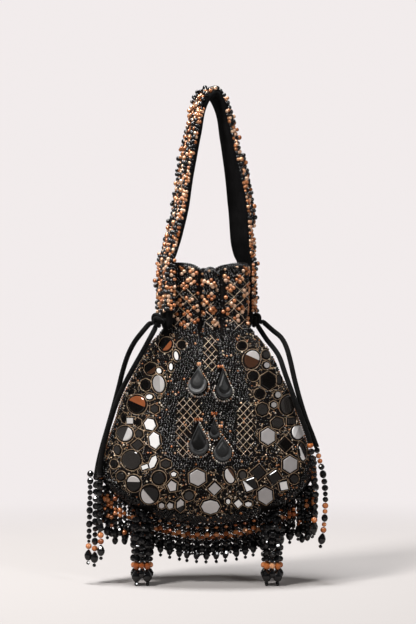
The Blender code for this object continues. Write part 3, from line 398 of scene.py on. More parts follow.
def between(table, x):
    """The height of a smooth curve through a table of (x, y) rows."""
    rows = list(table)
    if x <= rows[0][0]:
        return rows[0][1]
    for i in range(len(rows) - 1):
        (x0, y0), (x1, y1) = rows[i], rows[i + 1]
        if x <= x1:
            before = rows[i - 1] if i else rows[i]
            after = rows[i + 2] if i + 2 < len(rows) else rows[i + 1]
            m0 = (y1 - before[1]) / (x1 - before[0])
            m1 = (after[1] - y0) / (after[0] - x0)
            span = x1 - x0
            t = (x - x0) / span
            return (
                y0 * (2 * t**3 - 3 * t**2 + 1) + m0 * span * (t**3 - 2 * t**2 + t)
                + y1 * (3 * t**2 - 2 * t**3) + m1 * span * (t**3 - t**2)
            )
    return rows[-1][1]


def smooth_step(x):
    x = np.clip(x, 0.0, 1.0)
    return x * x * (3 - 2 * x)


def half_axes(z):
    """Half width and half depth of the pouch at one height, before its pleats."""
    if z <= BELLY:
        share = max(0.0, (z - BOTTOM) / BELLY_RISE)
        swell = (1.0 - (1.0 - share) ** 2) ** BOTTOM_ROUND
        return BELLY_WIDTH / 2 * swell, BELLY_DEPTH / 2 * swell
    if z <= NECK:
        swell = between(SWELL, (z - BELLY) / (NECK - BELLY))
        return (
            (NECK_WIDTH + (BELLY_WIDTH - NECK_WIDTH) * swell) / 2,
            (NECK_DEPTH + (BELLY_DEPTH - NECK_DEPTH) * swell) / 2,
        )
    swell = math.sin(min(1.0, (z - NECK) / COLLAR_HEIGHT * 1.5) * math.pi / 2)
    return (
        (NECK_WIDTH + (COLLAR_WIDTH - NECK_WIDTH) * swell) / 2,
        (NECK_DEPTH + (COLLAR_DEPTH - NECK_DEPTH) * swell) / 2,
    )


PROFILE_Z = BOTTOM + (RIM - BOTTOM) * np.linspace(0.0, 1.0, 900) ** 2
PROFILE_AXES = np.array([half_axes(z) for z in PROFILE_Z])


def half_width(z):
    return np.interp(z, PROFILE_Z, PROFILE_AXES[:, 0])


def pleat_at(degrees):
    """How deep in a pleat a direction lies, 1 at its fold."""
    total = np.zeros_like(degrees)
    for fold in PLEATS:
        away = np.abs((degrees - fold + 180.0) % 360.0 - 180.0)
        total += np.exp(-away / PLEAT_SPREAD)
    return np.minimum(1.0, total)


def pleat_depth(z):
    start = BELLY + (NECK - BELLY) * PLEAT_START
    return PLEAT_DEPTH * smooth_step((z - start) / (NECK - start))


def shell_at(degrees, z):
    """Points of the pouch's outer surface, as rows of x, y, z."""
    degrees, z = np.broadcast_arrays(np.asarray(degrees, float), np.asarray(z, float))
    width = half_width(z)
    depth = np.interp(z, PROFILE_Z, PROFILE_AXES[:, 1])
    fold = pleat_at(degrees)
    keep = 1.0 - pleat_depth(z) * fold
    gather = np.exp(-(((z - NECK) / 0.017) ** 2)) * 0.016
    keep = keep - gather * (1 + np.cos(np.radians(degrees * 22)))
    angle = np.radians(degrees)
    collar = np.clip((z - NECK) / COLLAR_HEIGHT, 0.0, 1.0)
    return np.stack(
        [width * np.cos(angle) * keep, depth * np.sin(angle) * keep, z - COLLAR_DIP * collar * fold], axis=-1
    )


def shell_normals(degrees, z):
    """Outward normals of the pouch's surface."""
    small, rise = 0.4, 0.0006
    along = shell_at(degrees + small, z) - shell_at(degrees - small, z)
    upward = shell_at(degrees, z + rise) - shell_at(degrees, z - rise)
    normal = np.cross(along, upward)
    return normal / np.linalg.norm(normal, axis=-1, keepdims=True)


def on_shell(degrees, z, lift):
    """Places that stand a little off the pouch's surface."""
    return shell_at(degrees, z) + shell_normals(degrees, z) * lift


def spots(x_px, y_px, side=-1):
    """Surface points and normals seen at places of the photograph. Side 1 puts them on the back, mirrored."""
    x_px, y_px = np.broadcast_arrays(np.asarray(x_px, float), np.asarray(y_px, float))
    flat_x, flat_z = (x_px - MIDDLE_PX) * PIXEL, (FLOOR_PX - y_px) * PIXEL
    across, z = flat_x, flat_z
    for _ in range(3):
        width = half_width(z)
        degrees = -np.degrees(np.arccos(np.clip(across / width, -0.995, 0.995)))
        point = shell_at(degrees, z)
        near = 1.0 + point[..., 1] / CAMERA_DISTANCE
        across = CAMERA_X + (flat_x - CAMERA_X) * near
        z = CAMERA_HEIGHT + (flat_z - CAMERA_HEIGHT) * near
        z = np.clip(z, BOTTOM + 0.0005, RIM)
    normal = shell_normals(degrees, z)
    if side > 0:
        point, normal = point * (1, -1, 1), normal * (1, -1, 1)
    return point, normal


def photo_place(points):
    """Photograph x and y of points, those of the back mirrored to the front."""
    near = 1.0 - np.abs(points[:, 1]) / CAMERA_DISTANCE
    x = MIDDLE_PX + (CAMERA_X + (points[:, 0] - CAMERA_X) / near) / PIXEL
    y = FLOOR_PX - (CAMERA_HEIGHT + (points[:, 2] - CAMERA_HEIGHT) / near) / PIXEL
    return x, y


def frames_on(normals):
    """Turns whose Z is each normal, whose Y points up the surface."""
    side = np.cross((0.0, 0.0, 1.0), normals)
    side = side / np.maximum(np.linalg.norm(side, axis=-1, keepdims=True), 1e-9)
    upward = np.cross(normals, side)
    return np.stack([side, upward, normals], axis=-1)


def facing(point, normal):
    """A frame at a point whose Z is the normal."""
    turned = Matrix(frames_on(np.asarray(normal)[None])[0].tolist()).to_4x4()
    return Matrix.Translation(Vector(point)) @ turned


# Materials

def fill(tree, node, inputs):
    """Sets inputs of a node, each to a plain value or by a link from another node's output."""
    for label, value in inputs.items():
        if isinstance(value, bpy.types.NodeSocket):
            tree.links.new(value, node.inputs[label])
        else:
            node.inputs[label].default_value = value


def add_node(tree, kind, inputs, output=None, **settings):
    """A new node, or the named output of it."""
    node = tree.nodes.new(f"ShaderNode{kind}")
    for label, value in settings.items():
        setattr(node, label, value)
    fill(tree, node, inputs)
    return node.outputs[output] if output else node


def ranged(tree, value, start, end, **settings):
    """A value brought to 0..1 between a start and an end."""
    inputs = {"From Min": start, "From Max": end, "Value": value}
    return add_node(tree, "MapRange", inputs, "Result", **settings)


def spread(tree, value, low, high):
    """A value of 0..1 brought to a range from low to high."""
    return add_node(tree, "MapRange", {"To Min": low, "To Max": high, "Value": value}, "Result")


def mixed(tree, share, first, second):
    return add_node(tree, "MixShader", {"Fac": share, 1: first, 2: second}, "Shader")


def new_material(name):
    made = bpy.data.materials.new(name)
    made.use_nodes = True
    return made, made.node_tree, made.node_tree.nodes["Principled BSDF"]


def new_group(name, inputs, outputs):
    group = bpy.data.node_groups.new(name, "ShaderNodeTree")
    for label, value in inputs.items():
        socket = group.interface.new_socket(label, in_out="INPUT", socket_type="NodeSocketFloat")
        socket.default_value = value
    for label, kind in outputs.items():
        group.interface.new_socket(label, in_out="OUTPUT", socket_type=f"NodeSocket{kind}")
    return group, group.nodes.new("NodeGroupInput"), group.nodes.new("NodeGroupOutput")


def grain_group():
    """Fine and coarse noise on object coordinates: a mask for colour and a height for bump."""
    group, given, out = new_group(
        "cloth_grain", {"Fine": 900.0, "Coarse": 60.0}, {"Mask": "Float", "Height": "Float"}
    )
    place = add_node(group, "TexCoord", {}, "Object")
    fine, coarse = (
        add_node(group, "TexNoise", {"Detail": 4.0, "Vector": place, "Scale": given.outputs[label]}, "Fac")
        for label in ("Fine", "Coarse")
    )
    height = add_node(group, "Math", {0: fine, 1: 0.6, 2: coarse}, "Value", operation="MULTIPLY_ADD")
    fill(group, out, {"Mask": ranged(group, coarse, 0.35, 0.68), "Height": height})
    return group


def tint_group():
    """The bead's own colour, darkened and lightened a little over its surface."""
    group, given, out = new_group(
        "bead_tint", {"Variation": 0.3, "Scale": 400.0}, {"Colour": "Color", "Roughness": "Float"}
    )
    own = add_node(group, "Attribute", {}, "Color", attribute_name="tint")
    place = add_node(group, "TexCoord", {}, "Object")
    noise = add_node(group, "TexNoise", {"Vector": place, "Scale": given.outputs["Scale"]}, "Fac")
    level = spread(group, noise, 0.55, 1.35)
    shade = add_node(
        group, "Mix", {"Factor": given.outputs["Variation"], "A": own, "B": level}, "Result",
        data_type="RGBA", blend_type="MULTIPLY",
    )
    fill(group, out, {"Colour": shade, "Roughness": spread(group, noise, 0.02, 0.09)})
    return group


GRAIN = grain_group()
TINT = tint_group()


def two_tones(tree, share, first, second):
    return add_node(
        tree, "Mix", {"Factor": share, "A": (*first, 1.0), "B": (*second, 1.0)}, "Result", data_type="RGBA"
    )


def grained(tree, shader, fine, coarse, bump, depth):
    """Raises a shader's surface with grain, and returns the grain's node."""
    grain = add_node(tree, "Group", {"Fine": fine, "Coarse": coarse}, node_tree=GRAIN)
    raised = {"Strength": bump, "Distance": depth, "Height": grain.outputs["Height"]}
    fill(tree, shader, {"Normal": add_node(tree, "Bump", raised, "Normal")})
    return grain


def cloth(name, dark, light, roughness, sheen, fine=1400.0, coarse=90.0, bump=0.35):
    """Velvet, suede or satin: two close shades, pile grain and sheen."""
    made, tree, shader = new_material(name)
    grain = grained(tree, shader, fine, coarse, bump, PILE_DEPTH)
    fill(tree, shader, {
        "Base Color": two_tones(tree, grain.outputs["Mask"], dark, light), "Roughness": roughness,
        "Sheen Weight": sheen, "Sheen Roughness": 0.4, "Specular IOR Level": 0.10,
    })
    return made


def glass(name, variation, scale, metallic, coat, bump=0.0, ior=1.5, rough=None):
    """Beads, pearls and tiles: each piece's own colour under a clear gloss."""
    made, tree, shader = new_material(name)
    tint = add_node(tree, "Group", {"Variation": variation, "Scale": scale}, node_tree=TINT)
    fill(tree, shader, {
        "Base Color": tint.outputs["Colour"], "Metallic": metallic, "IOR": ior, "Coat IOR": ior,
        "Coat Weight": coat, "Coat Roughness": 0.03,
        "Roughness": tint.outputs["Roughness"] if rough is None else rough,
    })
    if bump:
        grained(tree, shader, 1800.0, 700.0, bump, THREAD_RELIEF)
    return made


VELVET = cloth("black_velvet", (0.0012, 0.0012, 0.0013), (0.0040, 0.0037, 0.0040), 0.95, 0.012)
GROUND = cloth(
    "pouch_ground", (0.0012, 0.0011, 0.0011), (0.0075, 0.0052, 0.0042), 0.9, 0.0, 1100.0, 420.0, 0.6
)
SATIN = cloth("lining_velvet", (0.008, 0.0075, 0.008), (0.020, 0.018, 0.019), 0.7, 0.25, 1500.0, 40.0)
SUEDE = cloth("pocket_suede", (0.018, 0.015, 0.014), (0.042, 0.036, 0.034), 0.95, 0.3, 1700.0, 110.0, 0.5)
CORD_CLOTH = cloth(
    "cord_velvet", (0.0012, 0.0012, 0.0012), (0.0050, 0.0046, 0.0048), 0.85, 0.03, 1800.0, 300.0, 0.5
)
JET = glass("jet_glass", 0.3, 900.0, 0.0, 0.35, ior=1.55)
PEARL = glass("copper_pearl", 0.75, 420.0, 0.50, 0.8, ior=1.6)
COPPER_GLASS = glass("copper_glass", 0.85, 520.0, 0.50, 0.9, ior=1.6)
ZARI = glass("zari_thread", 0.8, 700.0, 0.25, 0.3, 0.8)
MIRROR = glass("mirror_tile", 0.22, 170.0, 0.30, 0.5)
STONE = glass("teardrop_glass", 0.7, 900.0, 0.0, 0.0, 0.10, ior=1.32, rough=0.42)
STRAND_GLASS = glass("strand_glass", 0.6, 600.0, 0.05, 0.8, ior=1.6)


# Meshes

def in_scene(name, data):
    made = bpy.data.objects.new(name, data)
    bpy.context.scene.collection.objects.link(made)
    return made


def new_piece(name, mesh, material, body, smooth=True):
    mesh.materials.clear()
    mesh.materials.append(material)
    if smooth:
        mesh.shade_smooth()
    made = in_scene(name, mesh)
    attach(made, body)
    return made


def mesh_of(name, bm):
    mesh = bpy.data.meshes.new(name)
    bm.to_mesh(mesh)
    bm.free()
    return mesh


def piece_of(name, bm, material, body="pouch", smooth=True):
    return new_piece(name, mesh_of(name, bm), material, body, smooth)


def thicken(piece, thickness, offset=-1.0):
    wall = piece.modifiers.new("wall", "SOLIDIFY")
    wall.thickness = thickness
    wall.offset = offset


def with_ones(rows):
    return np.hstack([rows, np.ones((len(rows), 1))]).astype(np.float32).ravel()


def paint(mesh, tints):
    """Gives each corner its own colour."""
    mesh.attributes.new("tint", "FLOAT_COLOR", "POINT").data.foreach_set("color", with_ones(tints))


def extruded_rings(bm, rings):
    """Ring after ring of vertices, each extruded from the last. Returns the first and last ring's edges."""
    bmesh.ops.create_circle(bm, segments=len(rings[0]), radius=0.01)
    ring = list(bm.verts)
    start = edges = list(bm.edges)
    for vert, place in zip(ring, rings[0]):
        vert.co = place
    for places in rings[1:]:
        made = bmesh.ops.extrude_edge_only(bm, edges=edges)["geom"]
        new = {g for g in made if isinstance(g, bmesh.types.BMVert)}
        edges = [g for g in made if isinstance(g, bmesh.types.BMEdge) and new.issuperset(g.verts)]
        above = {v: edge.other_vert(v) for v in ring for edge in v.link_edges if edge.other_vert(v) in new}
        ring = [above[v] for v in ring]
        for vert, place in zip(ring, places):
            vert.co = place
    return start, edges


def bead_form(kind):
    """Corners and triangles of one bead of unit radius, its string along Z."""
    bm = bmesh.new()
    if kind == "seed":
        bmesh.ops.create_icosphere(bm, subdivisions=1, radius=1.05)
    elif kind == "pearl":
        bmesh.ops.create_icosphere(bm, subdivisions=2, radius=1.0)
    elif kind == "cut":
        bmesh.ops.create_uvsphere(bm, u_segments=8, v_segments=6, radius=1.0)
    else:
        bmesh.ops.create_uvsphere(bm, u_segments=10, v_segments=8, radius=1.0)
        for vert in bm.verts:
            pull = 1.0 - 0.34 * smooth_step((vert.co.z + 0.1) / 1.0)
            vert.co.x *= pull
            vert.co.y *= pull
    bmesh.ops.triangulate(bm, faces=bm.faces)
    bm.verts.index_update()
    corners = np.array([v.co for v in bm.verts])
    faces = np.array([[v.index for v in f.verts] for f in bm.faces])
    bm.free()
    return corners, faces


FORMS = {kind: bead_form(kind) for kind in ("seed", "pearl", "cut", "drop")}
SMOOTH_FORMS = ("seed", "pearl")


class Tray:
    """Beads sorted by finish, ready to be sewn on as one piece for each finish."""

    def __init__(self):
        self.rows = {}

    def add(self, finish, kind, centres, sizes, colours, frames=None):
        """sizes are half widths: one number a bead, or three along the bead's own X, Y, Z."""
        centres = np.atleast_2d(np.asarray(centres, float))
        count = len(centres)
        sizes = np.asarray(sizes, float)
        if sizes.ndim == 0:
            sizes = np.full((count, 3), float(sizes))
        elif sizes.ndim == 1 and len(sizes) == 3 and count == 1:
            sizes = sizes[None]
        elif sizes.ndim == 1:
            sizes = np.repeat(sizes[:, None], 3, axis=1)
        colours = np.broadcast_to(np.atleast_2d(colours), (count, 3))
        frames = np.broadcast_to(np.eye(3) if frames is None else frames, (count, 3, 3))
        self.rows.setdefault(finish, []).append((kind, centres, sizes, colours, frames))

    def sew(self, name, finish, material, body):
        """One mesh of all beads of a finish, each copied from its form."""
        corners, faces, tints, smooth, start = [], [], [], [], 0
        for kind, centres, sizes, colours, frames in self.rows.get(finish, []):
            form, form_faces = FORMS[kind]
            scaled = form[None] * sizes[:, None]
            placed = np.einsum("nij,nkj->nki", frames, scaled) + centres[:, None]
            offsets = start + np.arange(len(centres))[:, None, None] * len(form)
            corners.append(placed.reshape(-1, 3))
            faces.append((form_faces[None] + offsets).reshape(-1, 3))
            tints.append(np.repeat(colours, len(form), axis=0))
            smooth.append(np.full(len(centres) * len(form_faces), kind in SMOOTH_FORMS))
            start += len(centres) * len(form)
        corners, faces, tints = map(np.concatenate, (corners, faces, tints))
        mesh = bpy.data.meshes.new(name)
        mesh.vertices.add(len(corners))
        mesh.vertices.foreach_set("co", corners.astype(np.float32).ravel())
        mesh.loops.add(faces.size)
        mesh.loops.foreach_set("vertex_index", faces.astype(np.int32).ravel())
        mesh.polygons.add(len(faces))
        mesh.polygons.foreach_set("loop_start", np.arange(0, faces.size, 3, dtype=np.int32))
        mesh.update(calc_edges=True)
        mesh.polygons.foreach_set("use_smooth", np.concatenate(smooth))
        paint(mesh, tints)
        return new_piece(name, mesh, material, body, smooth=False)


def round_curve(name, lines, radius, resolution):
    """A round curve of given radius through each of the lines, which are (points, closed)."""
    curve = bpy.data.curves.new(name, "CURVE")
    curve.dimensions = "3D"
    curve.bevel_depth = radius
    curve.bevel_resolution = resolution
    curve.use_fill_caps = True
    for points, closed in lines:
        spline = curve.splines.new("POLY")
        spline.points.add(len(points) - 1)
        spline.points.foreach_set("co", with_ones(points))
        spline.use_cyclic_u = closed
    return curve


def thread_piece(name, lines, radius, colours, material, resolution=1):
    """Threads on the pouch as one mesh, whose colour wavers between two."""
    guide = in_scene(name + "_guide", round_curve(name, lines, radius, resolution))
    bpy.context.view_layer.update()
    mesh = bpy.data.meshes.new_from_object(guide.evaluated_get(bpy.context.evaluated_depsgraph_get()))
    mesh.name = name
    bpy.data.objects.remove(guide)
    bm = bmesh.new()
    bm.from_mesh(mesh)
    bmesh.ops.remove_doubles(bm, verts=bm.verts, dist=1e-6)
    bm.to_mesh(mesh)
    bm.free()
    places = np.empty(len(mesh.vertices) * 3, np.float32)
    mesh.vertices.foreach_get("co", places)
    places = places.reshape(-1, 3)
    mix = 0.5 + 0.5 * np.sin(places[:, 0] * 900 + places[:, 2] * 1300)
    paint(mesh, np.asarray(colours[0]) * (1 - mix[:, None]) + np.asarray(colours[1]) * mix[:, None])
    return new_piece(name, mesh, material, "pouch")


def pick(rng, palette, count):
    return np.asarray(palette)[rng.integers(0, len(palette), count)]


# Stage

def add_camera():
    data = bpy.data.cameras.new("camera")
    data.sensor_fit = "VERTICAL"
    data.sensor_height = CAMERA_SENSOR
    data.lens = CAMERA_LENS
    camera = in_scene("camera", data)
    camera.location = (CAMERA_X, -CAMERA_DISTANCE, CAMERA_HEIGHT)
    camera.rotation_euler = (math.pi / 2, 0.0, 0.0)
    bpy.context.scene.camera = camera


def add_lamp(name, place, size, power, colour):
    data = bpy.data.lights.new(name, "AREA")
    data.shape = "DISK"
    data.size = size
    data.energy = power
    data.color = colour
    lamp = in_scene(name, data)
    lamp.location = place
    lamp.rotation_euler = (Vector(LAMP_AIM) - Vector(place)).to_track_quat("-Z", "Y").to_euler()


def add_world():
    """Pale behind the bag, dim in front of it, so that black glass stays black."""
    world = bpy.data.worlds.new("studio")
    bpy.context.scene.world = world
    world.use_nodes = True
    tree = world.node_tree
    ground = tree.nodes["Background"]
    fill(tree, ground, {"Color": (*WORLD_LIGHT, 1.0), "Strength": WORLD_STRENGTH})
    shown = add_node(tree, "Background", {"Color": (*BACKGROUND, 1.0)}, "Background")
    place = add_node(tree, "TexCoord", {}, "Generated")
    level = ranged(tree, add_node(tree, "SeparateXYZ", {"Vector": place}, "Y"), -0.3, 0.5)
    fill(tree, level.node, dict(zip(("To Min", "To Max"), WORLD_IN_GLASS_STRENGTH)))
    in_glass = {"Color": (*WORLD_IN_GLASS, 1.0), "Strength": level}
    in_glass = add_node(tree, "Background", in_glass, "Background")
    ray = add_node(tree, "LightPath", {}).outputs
    lit = mixed(tree, ray["Is Glossy Ray"], ground.outputs["Background"], in_glass)
    fill(tree, tree.nodes["World Output"], {"Surface": mixed(tree, ray["Is Camera Ray"], lit, shown)})


def add_floor():
    """A wide pale floor that takes the bag's shadow and fades into the background far away."""
    made, tree, shader = new_material("studio_floor")
    place = add_node(tree, "TexCoord", {}, "Object")
    depth = ranged(tree, add_node(tree, "SeparateXYZ", {"Vector": place}, "Y"), *FLOOR_DEPTHS)
    fill(tree, shader, {
        "Base Color": two_tones(tree, depth, FLOOR_NEAR, FLOOR_FAR), "Roughness": 0.75,
        "Specular IOR Level": 0.15,
    })
    length = add_node(tree, "VectorMath", {0: place}, "Value", operation="LENGTH")
    fade = ranged(tree, length, *FLOOR_FADE, interpolation_type="SMOOTHSTEP")
    far = add_node(tree, "Emission", {"Color": (*BACKGROUND, 1.0)}, "Emission")
    seen = mixed(tree, fade, shader.outputs["BSDF"], far)
    in_glass = add_node(tree, "BsdfDiffuse", {"Color": (*FLOOR_IN_GLASS, 1.0)}, "BSDF")
    ray = add_node(tree, "LightPath", {}, "Is Glossy Ray")
    fill(tree, tree.nodes["Material Output"], {"Surface": mixed(tree, ray, seen, in_glass)})
    bm = bmesh.new()
    bmesh.ops.create_circle(bm, cap_ends=True, segments=64, radius=FLOOR_RADIUS)
    mesh = mesh_of("floor", bm)
    mesh.materials.append(made)
    in_scene("floor", mesh)


# Pouch

def bag(rings):
    """A bag through the rings, closed at its bottom."""
    bm = bmesh.new()
    start, _ = extruded_rings(bm, rings)
    pole = bmesh.ops.contextual_create(bm, geom=start)["faces"]
    bmesh.ops.poke(bm, faces=pole)
    bmesh.ops.recalc_face_normals(bm, faces=bm.faces)
    return bm


def add_pouch_cloth():
    """The gathered cloth that carries the beads, with its wall turned in at the collar's edge."""
    directions = np.arange(0.0, 360.0, 2.0)
    low = BOTTOM + BELLY_RISE * np.array(BELLY_LEVELS)
    levels = np.concatenate([low, np.linspace(BELLY, NECK, 44)[:-1], np.linspace(NECK, RIM, 16)])
    cloth_piece = piece_of("pouch_cloth", bag([shell_at(directions, z) for z in levels]), GROUND)
    thicken(cloth_piece, WALL * 0.7)
    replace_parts(cloth_piece, "outer_shell")


def lining_axes(z, inset):
    keep = 1.0 - float(pleat_depth(z))
    away = WALL + LINING_GAP + inset
    free = [axis * keep - away for axis in half_axes(z)]
    cord_room = CORD_DIAMETER + 2 * CORD_GAP
    drawn = [axis * (1.0 - PLEAT_DEPTH) - away - cord_room for axis in (NECK_WIDTH / 2, NECK_DEPTH / 2)]
    reach = CORD_DIAMETER + CORD_GAP * 5
    share = 1.0 - float(smooth_step((abs(z - NECK) - reach) / 0.010))
    return tuple(a + (b - a) * share for a, b in zip(free, drawn))


def lining_point(degrees, z, inset=0.0):
    floor = BOTTOM + WALL + LINING_GAP
    angle = math.radians(degrees)
    if z < BELLY:
        share = max(0.0, (z - floor) / (BELLY - floor))
        swell = (1.0 - (1.0 - share) ** 2) ** BOTTOM_ROUND
        width, depth = (axis * swell for axis in lining_axes(BELLY, inset))
    else:
        width, depth = lining_axes(z, inset)
    fold = 1.0 - 0.012 * (1 + math.cos(angle * 26)) * float(smooth_step((z - BELLY) / 0.06))
    return Vector((width * math.cos(angle) * fold, depth * math.sin(angle) * fold, z))


def add_lining():
    """The velvet inner bag, gathered at the neck and hemmed inside the collar."""
    floor = BOTTOM + WALL + LINING_GAP
    levels = [floor + (BELLY - floor) * share for share in LINING_LEVELS]
    levels += list(np.linspace(BELLY, RIM - LINING_TOP_INSET, 44))
    bm = bag([[lining_point(d, z) for d in range(0, 360, 3)] for z in levels])
    area = sum(face.calc_area() for face in bm.faces)
    lining = piece_of("velvet_lining", bm, SATIN)
    thicken(lining, LINING_THICKNESS * 0.6)
    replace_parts(lining, "lining")


def add_pocket():
    """The suede patch pocket with a turned hem, stitched round three sides."""
    bm = bmesh.new()
    bmesh.ops.create_grid(bm, x_segments=24, y_segments=24, size=0.5)
    for vert in bm.verts:
        across, rise = vert.co.x * POCKET_WIDTH, vert.co.y + 0.5
        z = BOTTOM + POCKET_RISE + rise * POCKET_HEIGHT
        hem = 0.0005 * float(smooth_step((rise - 0.86) / 0.03))
        away = LINING_THICKNESS + GAP * 2 + POCKET_THICKNESS + hem
        away += POCKET_SLACK * (1.0 - (2 * vert.co.x) ** 2) * rise
        degrees = math.degrees(math.acos(across / lining_axes(z, 0.0)[0]))
        vert.co = lining_point(degrees, z, away)
    bmesh.ops.recalc_face_normals(bm, faces=bm.faces)
    pocket = piece_of("suede_pocket", bm, SUEDE)
    thicken(pocket, POCKET_THICKNESS * 0.7, offset=0.0)
    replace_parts(pocket, "mini_pocket")


def run_along(points):
    """The length of a line of points up to each of them."""
    return np.concatenate([[0.0], np.cumsum(np.linalg.norm(np.diff(points, axis=0), axis=1))])


def surface_rows(low, high, pitch, rng):
    """Places spaced evenly over the pouch between two heights: degrees and heights, row by row."""
    inside = (PROFILE_Z >= low) & (PROFILE_Z <= high)
    z, reach = PROFILE_Z[inside], PROFILE_AXES[inside].mean(axis=1)
    run = np.concatenate([[0.0], np.cumsum(np.hypot(np.diff(z), np.diff(reach)))])
    ring = np.arange(0.0, 360.5, 0.5)
    found = []
    for row, down in enumerate(np.arange(0.0, run[-1], pitch * 0.88)):
        level = np.interp(down, run, z)
        length = run_along(shell_at(ring, level))
        count = max(3, int(length[-1] / pitch))
        places = (np.arange(count) + 0.5 * (row % 2) + rng.uniform(-0.2, 0.2, count)) / count * length[-1]
        degrees = np.interp(places % length[-1], length, ring)
        heights = np.clip(level + rng.uniform(-0.2, 0.2, count) * pitch, low, high)
        found.append(np.stack([degrees, heights], axis=1))
    return np.concatenate(found)


def clear_of(x, y, places):
    """Which photograph places lie outside all of these ellipses of (x, y, half width, half height)."""
    keep = np.ones(len(x), bool)
    for px, py, half_width, half_height in places:
        keep &= ((x - px) / half_width) ** 2 + ((y - py) / half_height) ** 2 > 1.0
    return keep


def in_patch(x, y, patch):
    """Inside a patch with rounded corners."""
    x0, x1, y0, y1 = patch
    across, up = (x - (x0 + x1) / 2) / (x1 - x0) * 2, (y - (y0 + y1) / 2) / (y1 - y0) * 2
    return across**4 + up**4 < 1.05


def in_lattice(x, y):
    inside = np.zeros(np.shape(x), bool)
    for *patch, _ in LATTICES[:3]:
        inside |= in_patch(x, y, patch)
    return inside


def in_fold_shade(x, y):
    # Where the folds' painted shade lies: few beads are sewn there
    inside = np.zeros(np.shape(x), bool)
    for middle, half in FOLDS:
        narrowing = np.clip((FOLDS_END_PX - y) / FOLDS_TAPER_PX, 0.0, 1.0)
        inside |= np.abs(x - middle) < half * narrowing
    return inside


def stone_places():
    """Each stone's place in the photograph, as an ellipse for its round end and one for its point."""
    found = []
    for _, across, rise, width, length, *_ in STONES:
        z = BOTTOM + rise - length / 2
        x, y = MIDDLE_PX + across / PIXEL * 1.02, FLOOR_PX - z / PIXEL
        bulb = width / PIXEL / 2
        found.append((x, y + length / PIXEL / 2 - bulb, bulb * 1.1, bulb * 1.1))
        found.append((x, y - length / PIXEL * 0.10, bulb * 0.62, length / PIXEL * 0.36))
    return found


def near_seam(x, y):
    """Which photograph places lie on the rows of black beads above the fringe."""
    rows = np.array(SEAM_EDGE, float)
    return y > np.interp(x, rows[:, 0], rows[:, 1]) - SEAM_BAND_PX


def in_panel(x, y):
    rows = np.array(PANEL_EDGES, float)
    left = np.interp(y, rows[:, 0], rows[:, 1])
    right = np.interp(y, rows[:, 0], rows[:, 2])
    return (x > left) & (x < right) & (y < PANEL_BOTTOM_PX)


def swept(points, radius):
    """Beads that the strap's ends or the foot tassels would strike as they swing."""
    out = np.abs(points @ np.array(STRAP_AXIS)) + radius
    by_strap = (out > STRAP_INNER - STRAP_SWING_ROOM) & (points[:, 2] > NECK - STRAP_SWING_DEPTH)
    beside = np.abs(np.abs(points[:, 0]) - FOOT_OFFSET) < TASSEL_SWING_WIDTH
    by_tassel = beside & (points[:, 1] < 0) & (points[:, 2] < BOTTOM + TASSEL_SWING_RISE)
    return by_strap | by_tassel


def add_pouch_beads():
    """Seed beads all over the pouch: black glass in the panel and on the collar, gold and copper round it."""
    rng = np.random.default_rng(11)
    places = surface_rows(BOTTOM + 0.0012, RIM - 0.0006, SEED_PITCH, rng)
    degrees, z = places[:, 0], places[:, 1]
    points, normals = shell_at(degrees, z), shell_normals(degrees, z)
    x, y = photo_place(points)
    tiles = [(px, py, w / 2 + 1.9, h / 2 + 1.9) for px, py, w, h, *_ in MIRRORS]
    pearls = np.concatenate([pearl_places(side)[0] for side in (-1, 1)])
    keep = clear_of(x, y, tiles)
    front = points[:, 1] < 0
    keep &= ~front | clear_of(x, y, stone_places())
    keep &= np.array([np.min(np.sum((pearls - p) ** 2, axis=1)) > PEARL_CLEARANCE**2 for p in points])
    keep &= ~(in_lattice(x, y) & (rng.random(len(x)) > LATTICE_FILL))
    # Thin the beads in the folds, so that the black ground paints their shade
    keep &= ~(in_fold_shade(x, y) & (rng.random(len(x)) > FOLD_SHADE_FILL))
    panel = in_panel(x, y) | (z > NECK - 0.012) | near_seam(x, y)
    kind = rng.random(len(x))
    gold = ~panel & (kind < GOLD_SHARE)
    keep &= panel | (rng.random(len(x)) < BAND_FILL)
    # Small silver seeds among the black: partly real silver beads, partly painted glints
    silver_and_glint = panel & (kind < SILVER_AND_GLINT_SHARE) & (z < NECK - 0.004)
    copper = kind > 1.0 - np.where(panel, PANEL_COPPER_SHARE, BAND_COPPER_SHARE)
    black = ~gold & ~copper & ~silver_and_glint
    radius = rng.uniform(*SEED_RADII, len(x))
    radius[~panel] *= BAND_SEED
    radius[silver_and_glint] *= SILVER_AND_GLINT_SEED
    radius[z > NECK] *= COLLAR_SEED
    frames = frames_on(normals)
    lift = points + normals * (radius * SEED_LIFT)[:, None]
    keep &= ~swept(lift, radius)
    tray = Tray()
    shade = rng.uniform(*SEED_GREYS, len(x))
    finishes = (
        ("black", black, None), ("gold", gold, GOLDS),
        ("copper", copper, COPPERS), ("copper", silver_and_glint, SILVERS),
    )
    for finish, chosen, palette in finishes:
        for side, half in (("front", front), ("back", ~front)):
            rows = keep & chosen & half
            colours = shade[rows, None] * np.ones(3) if palette is None else pick(rng, palette, rows.sum())
            sizes = radius[rows, None] * np.array([1.0, 1.0, 0.9])
            tray.add(finish + side, "seed", lift[rows], sizes, colours, frames[rows])
    for side in ("front", "back"):
        for finish, material in (("black", JET), ("gold", ZARI), ("copper", PEARL)):
            tray.sew(f"{finish}_seeds_{side}", finish + side, material, "pouch")


def pearl_places(side):
    """Pearls of the collar and neck, in clusters of three or four, with their normals."""
    rng = np.random.default_rng(5)
    found_x, found_y = [], []
    for px, py in COLLAR_PEARLS:
        steps = [(0, -2.5), (2.6, 0.2), (0.2, 2.6), (-2.6, 0)]
        for _ in range(rng.integers(0, 2)):
            steps.pop(rng.integers(0, len(steps)))
        for dx, dy in steps:
            found_x.append(px + dx + rng.uniform(-0.4, 0.4))
            found_y.append(py + dy + rng.uniform(-0.4, 0.4))
    found_x, found_y = np.array(found_x), np.array(found_y)
    # No pearls in the folds' painted shade
    shown = ~in_fold_shade(found_x, found_y)
    return spots(found_x[shown], found_y[shown], side)


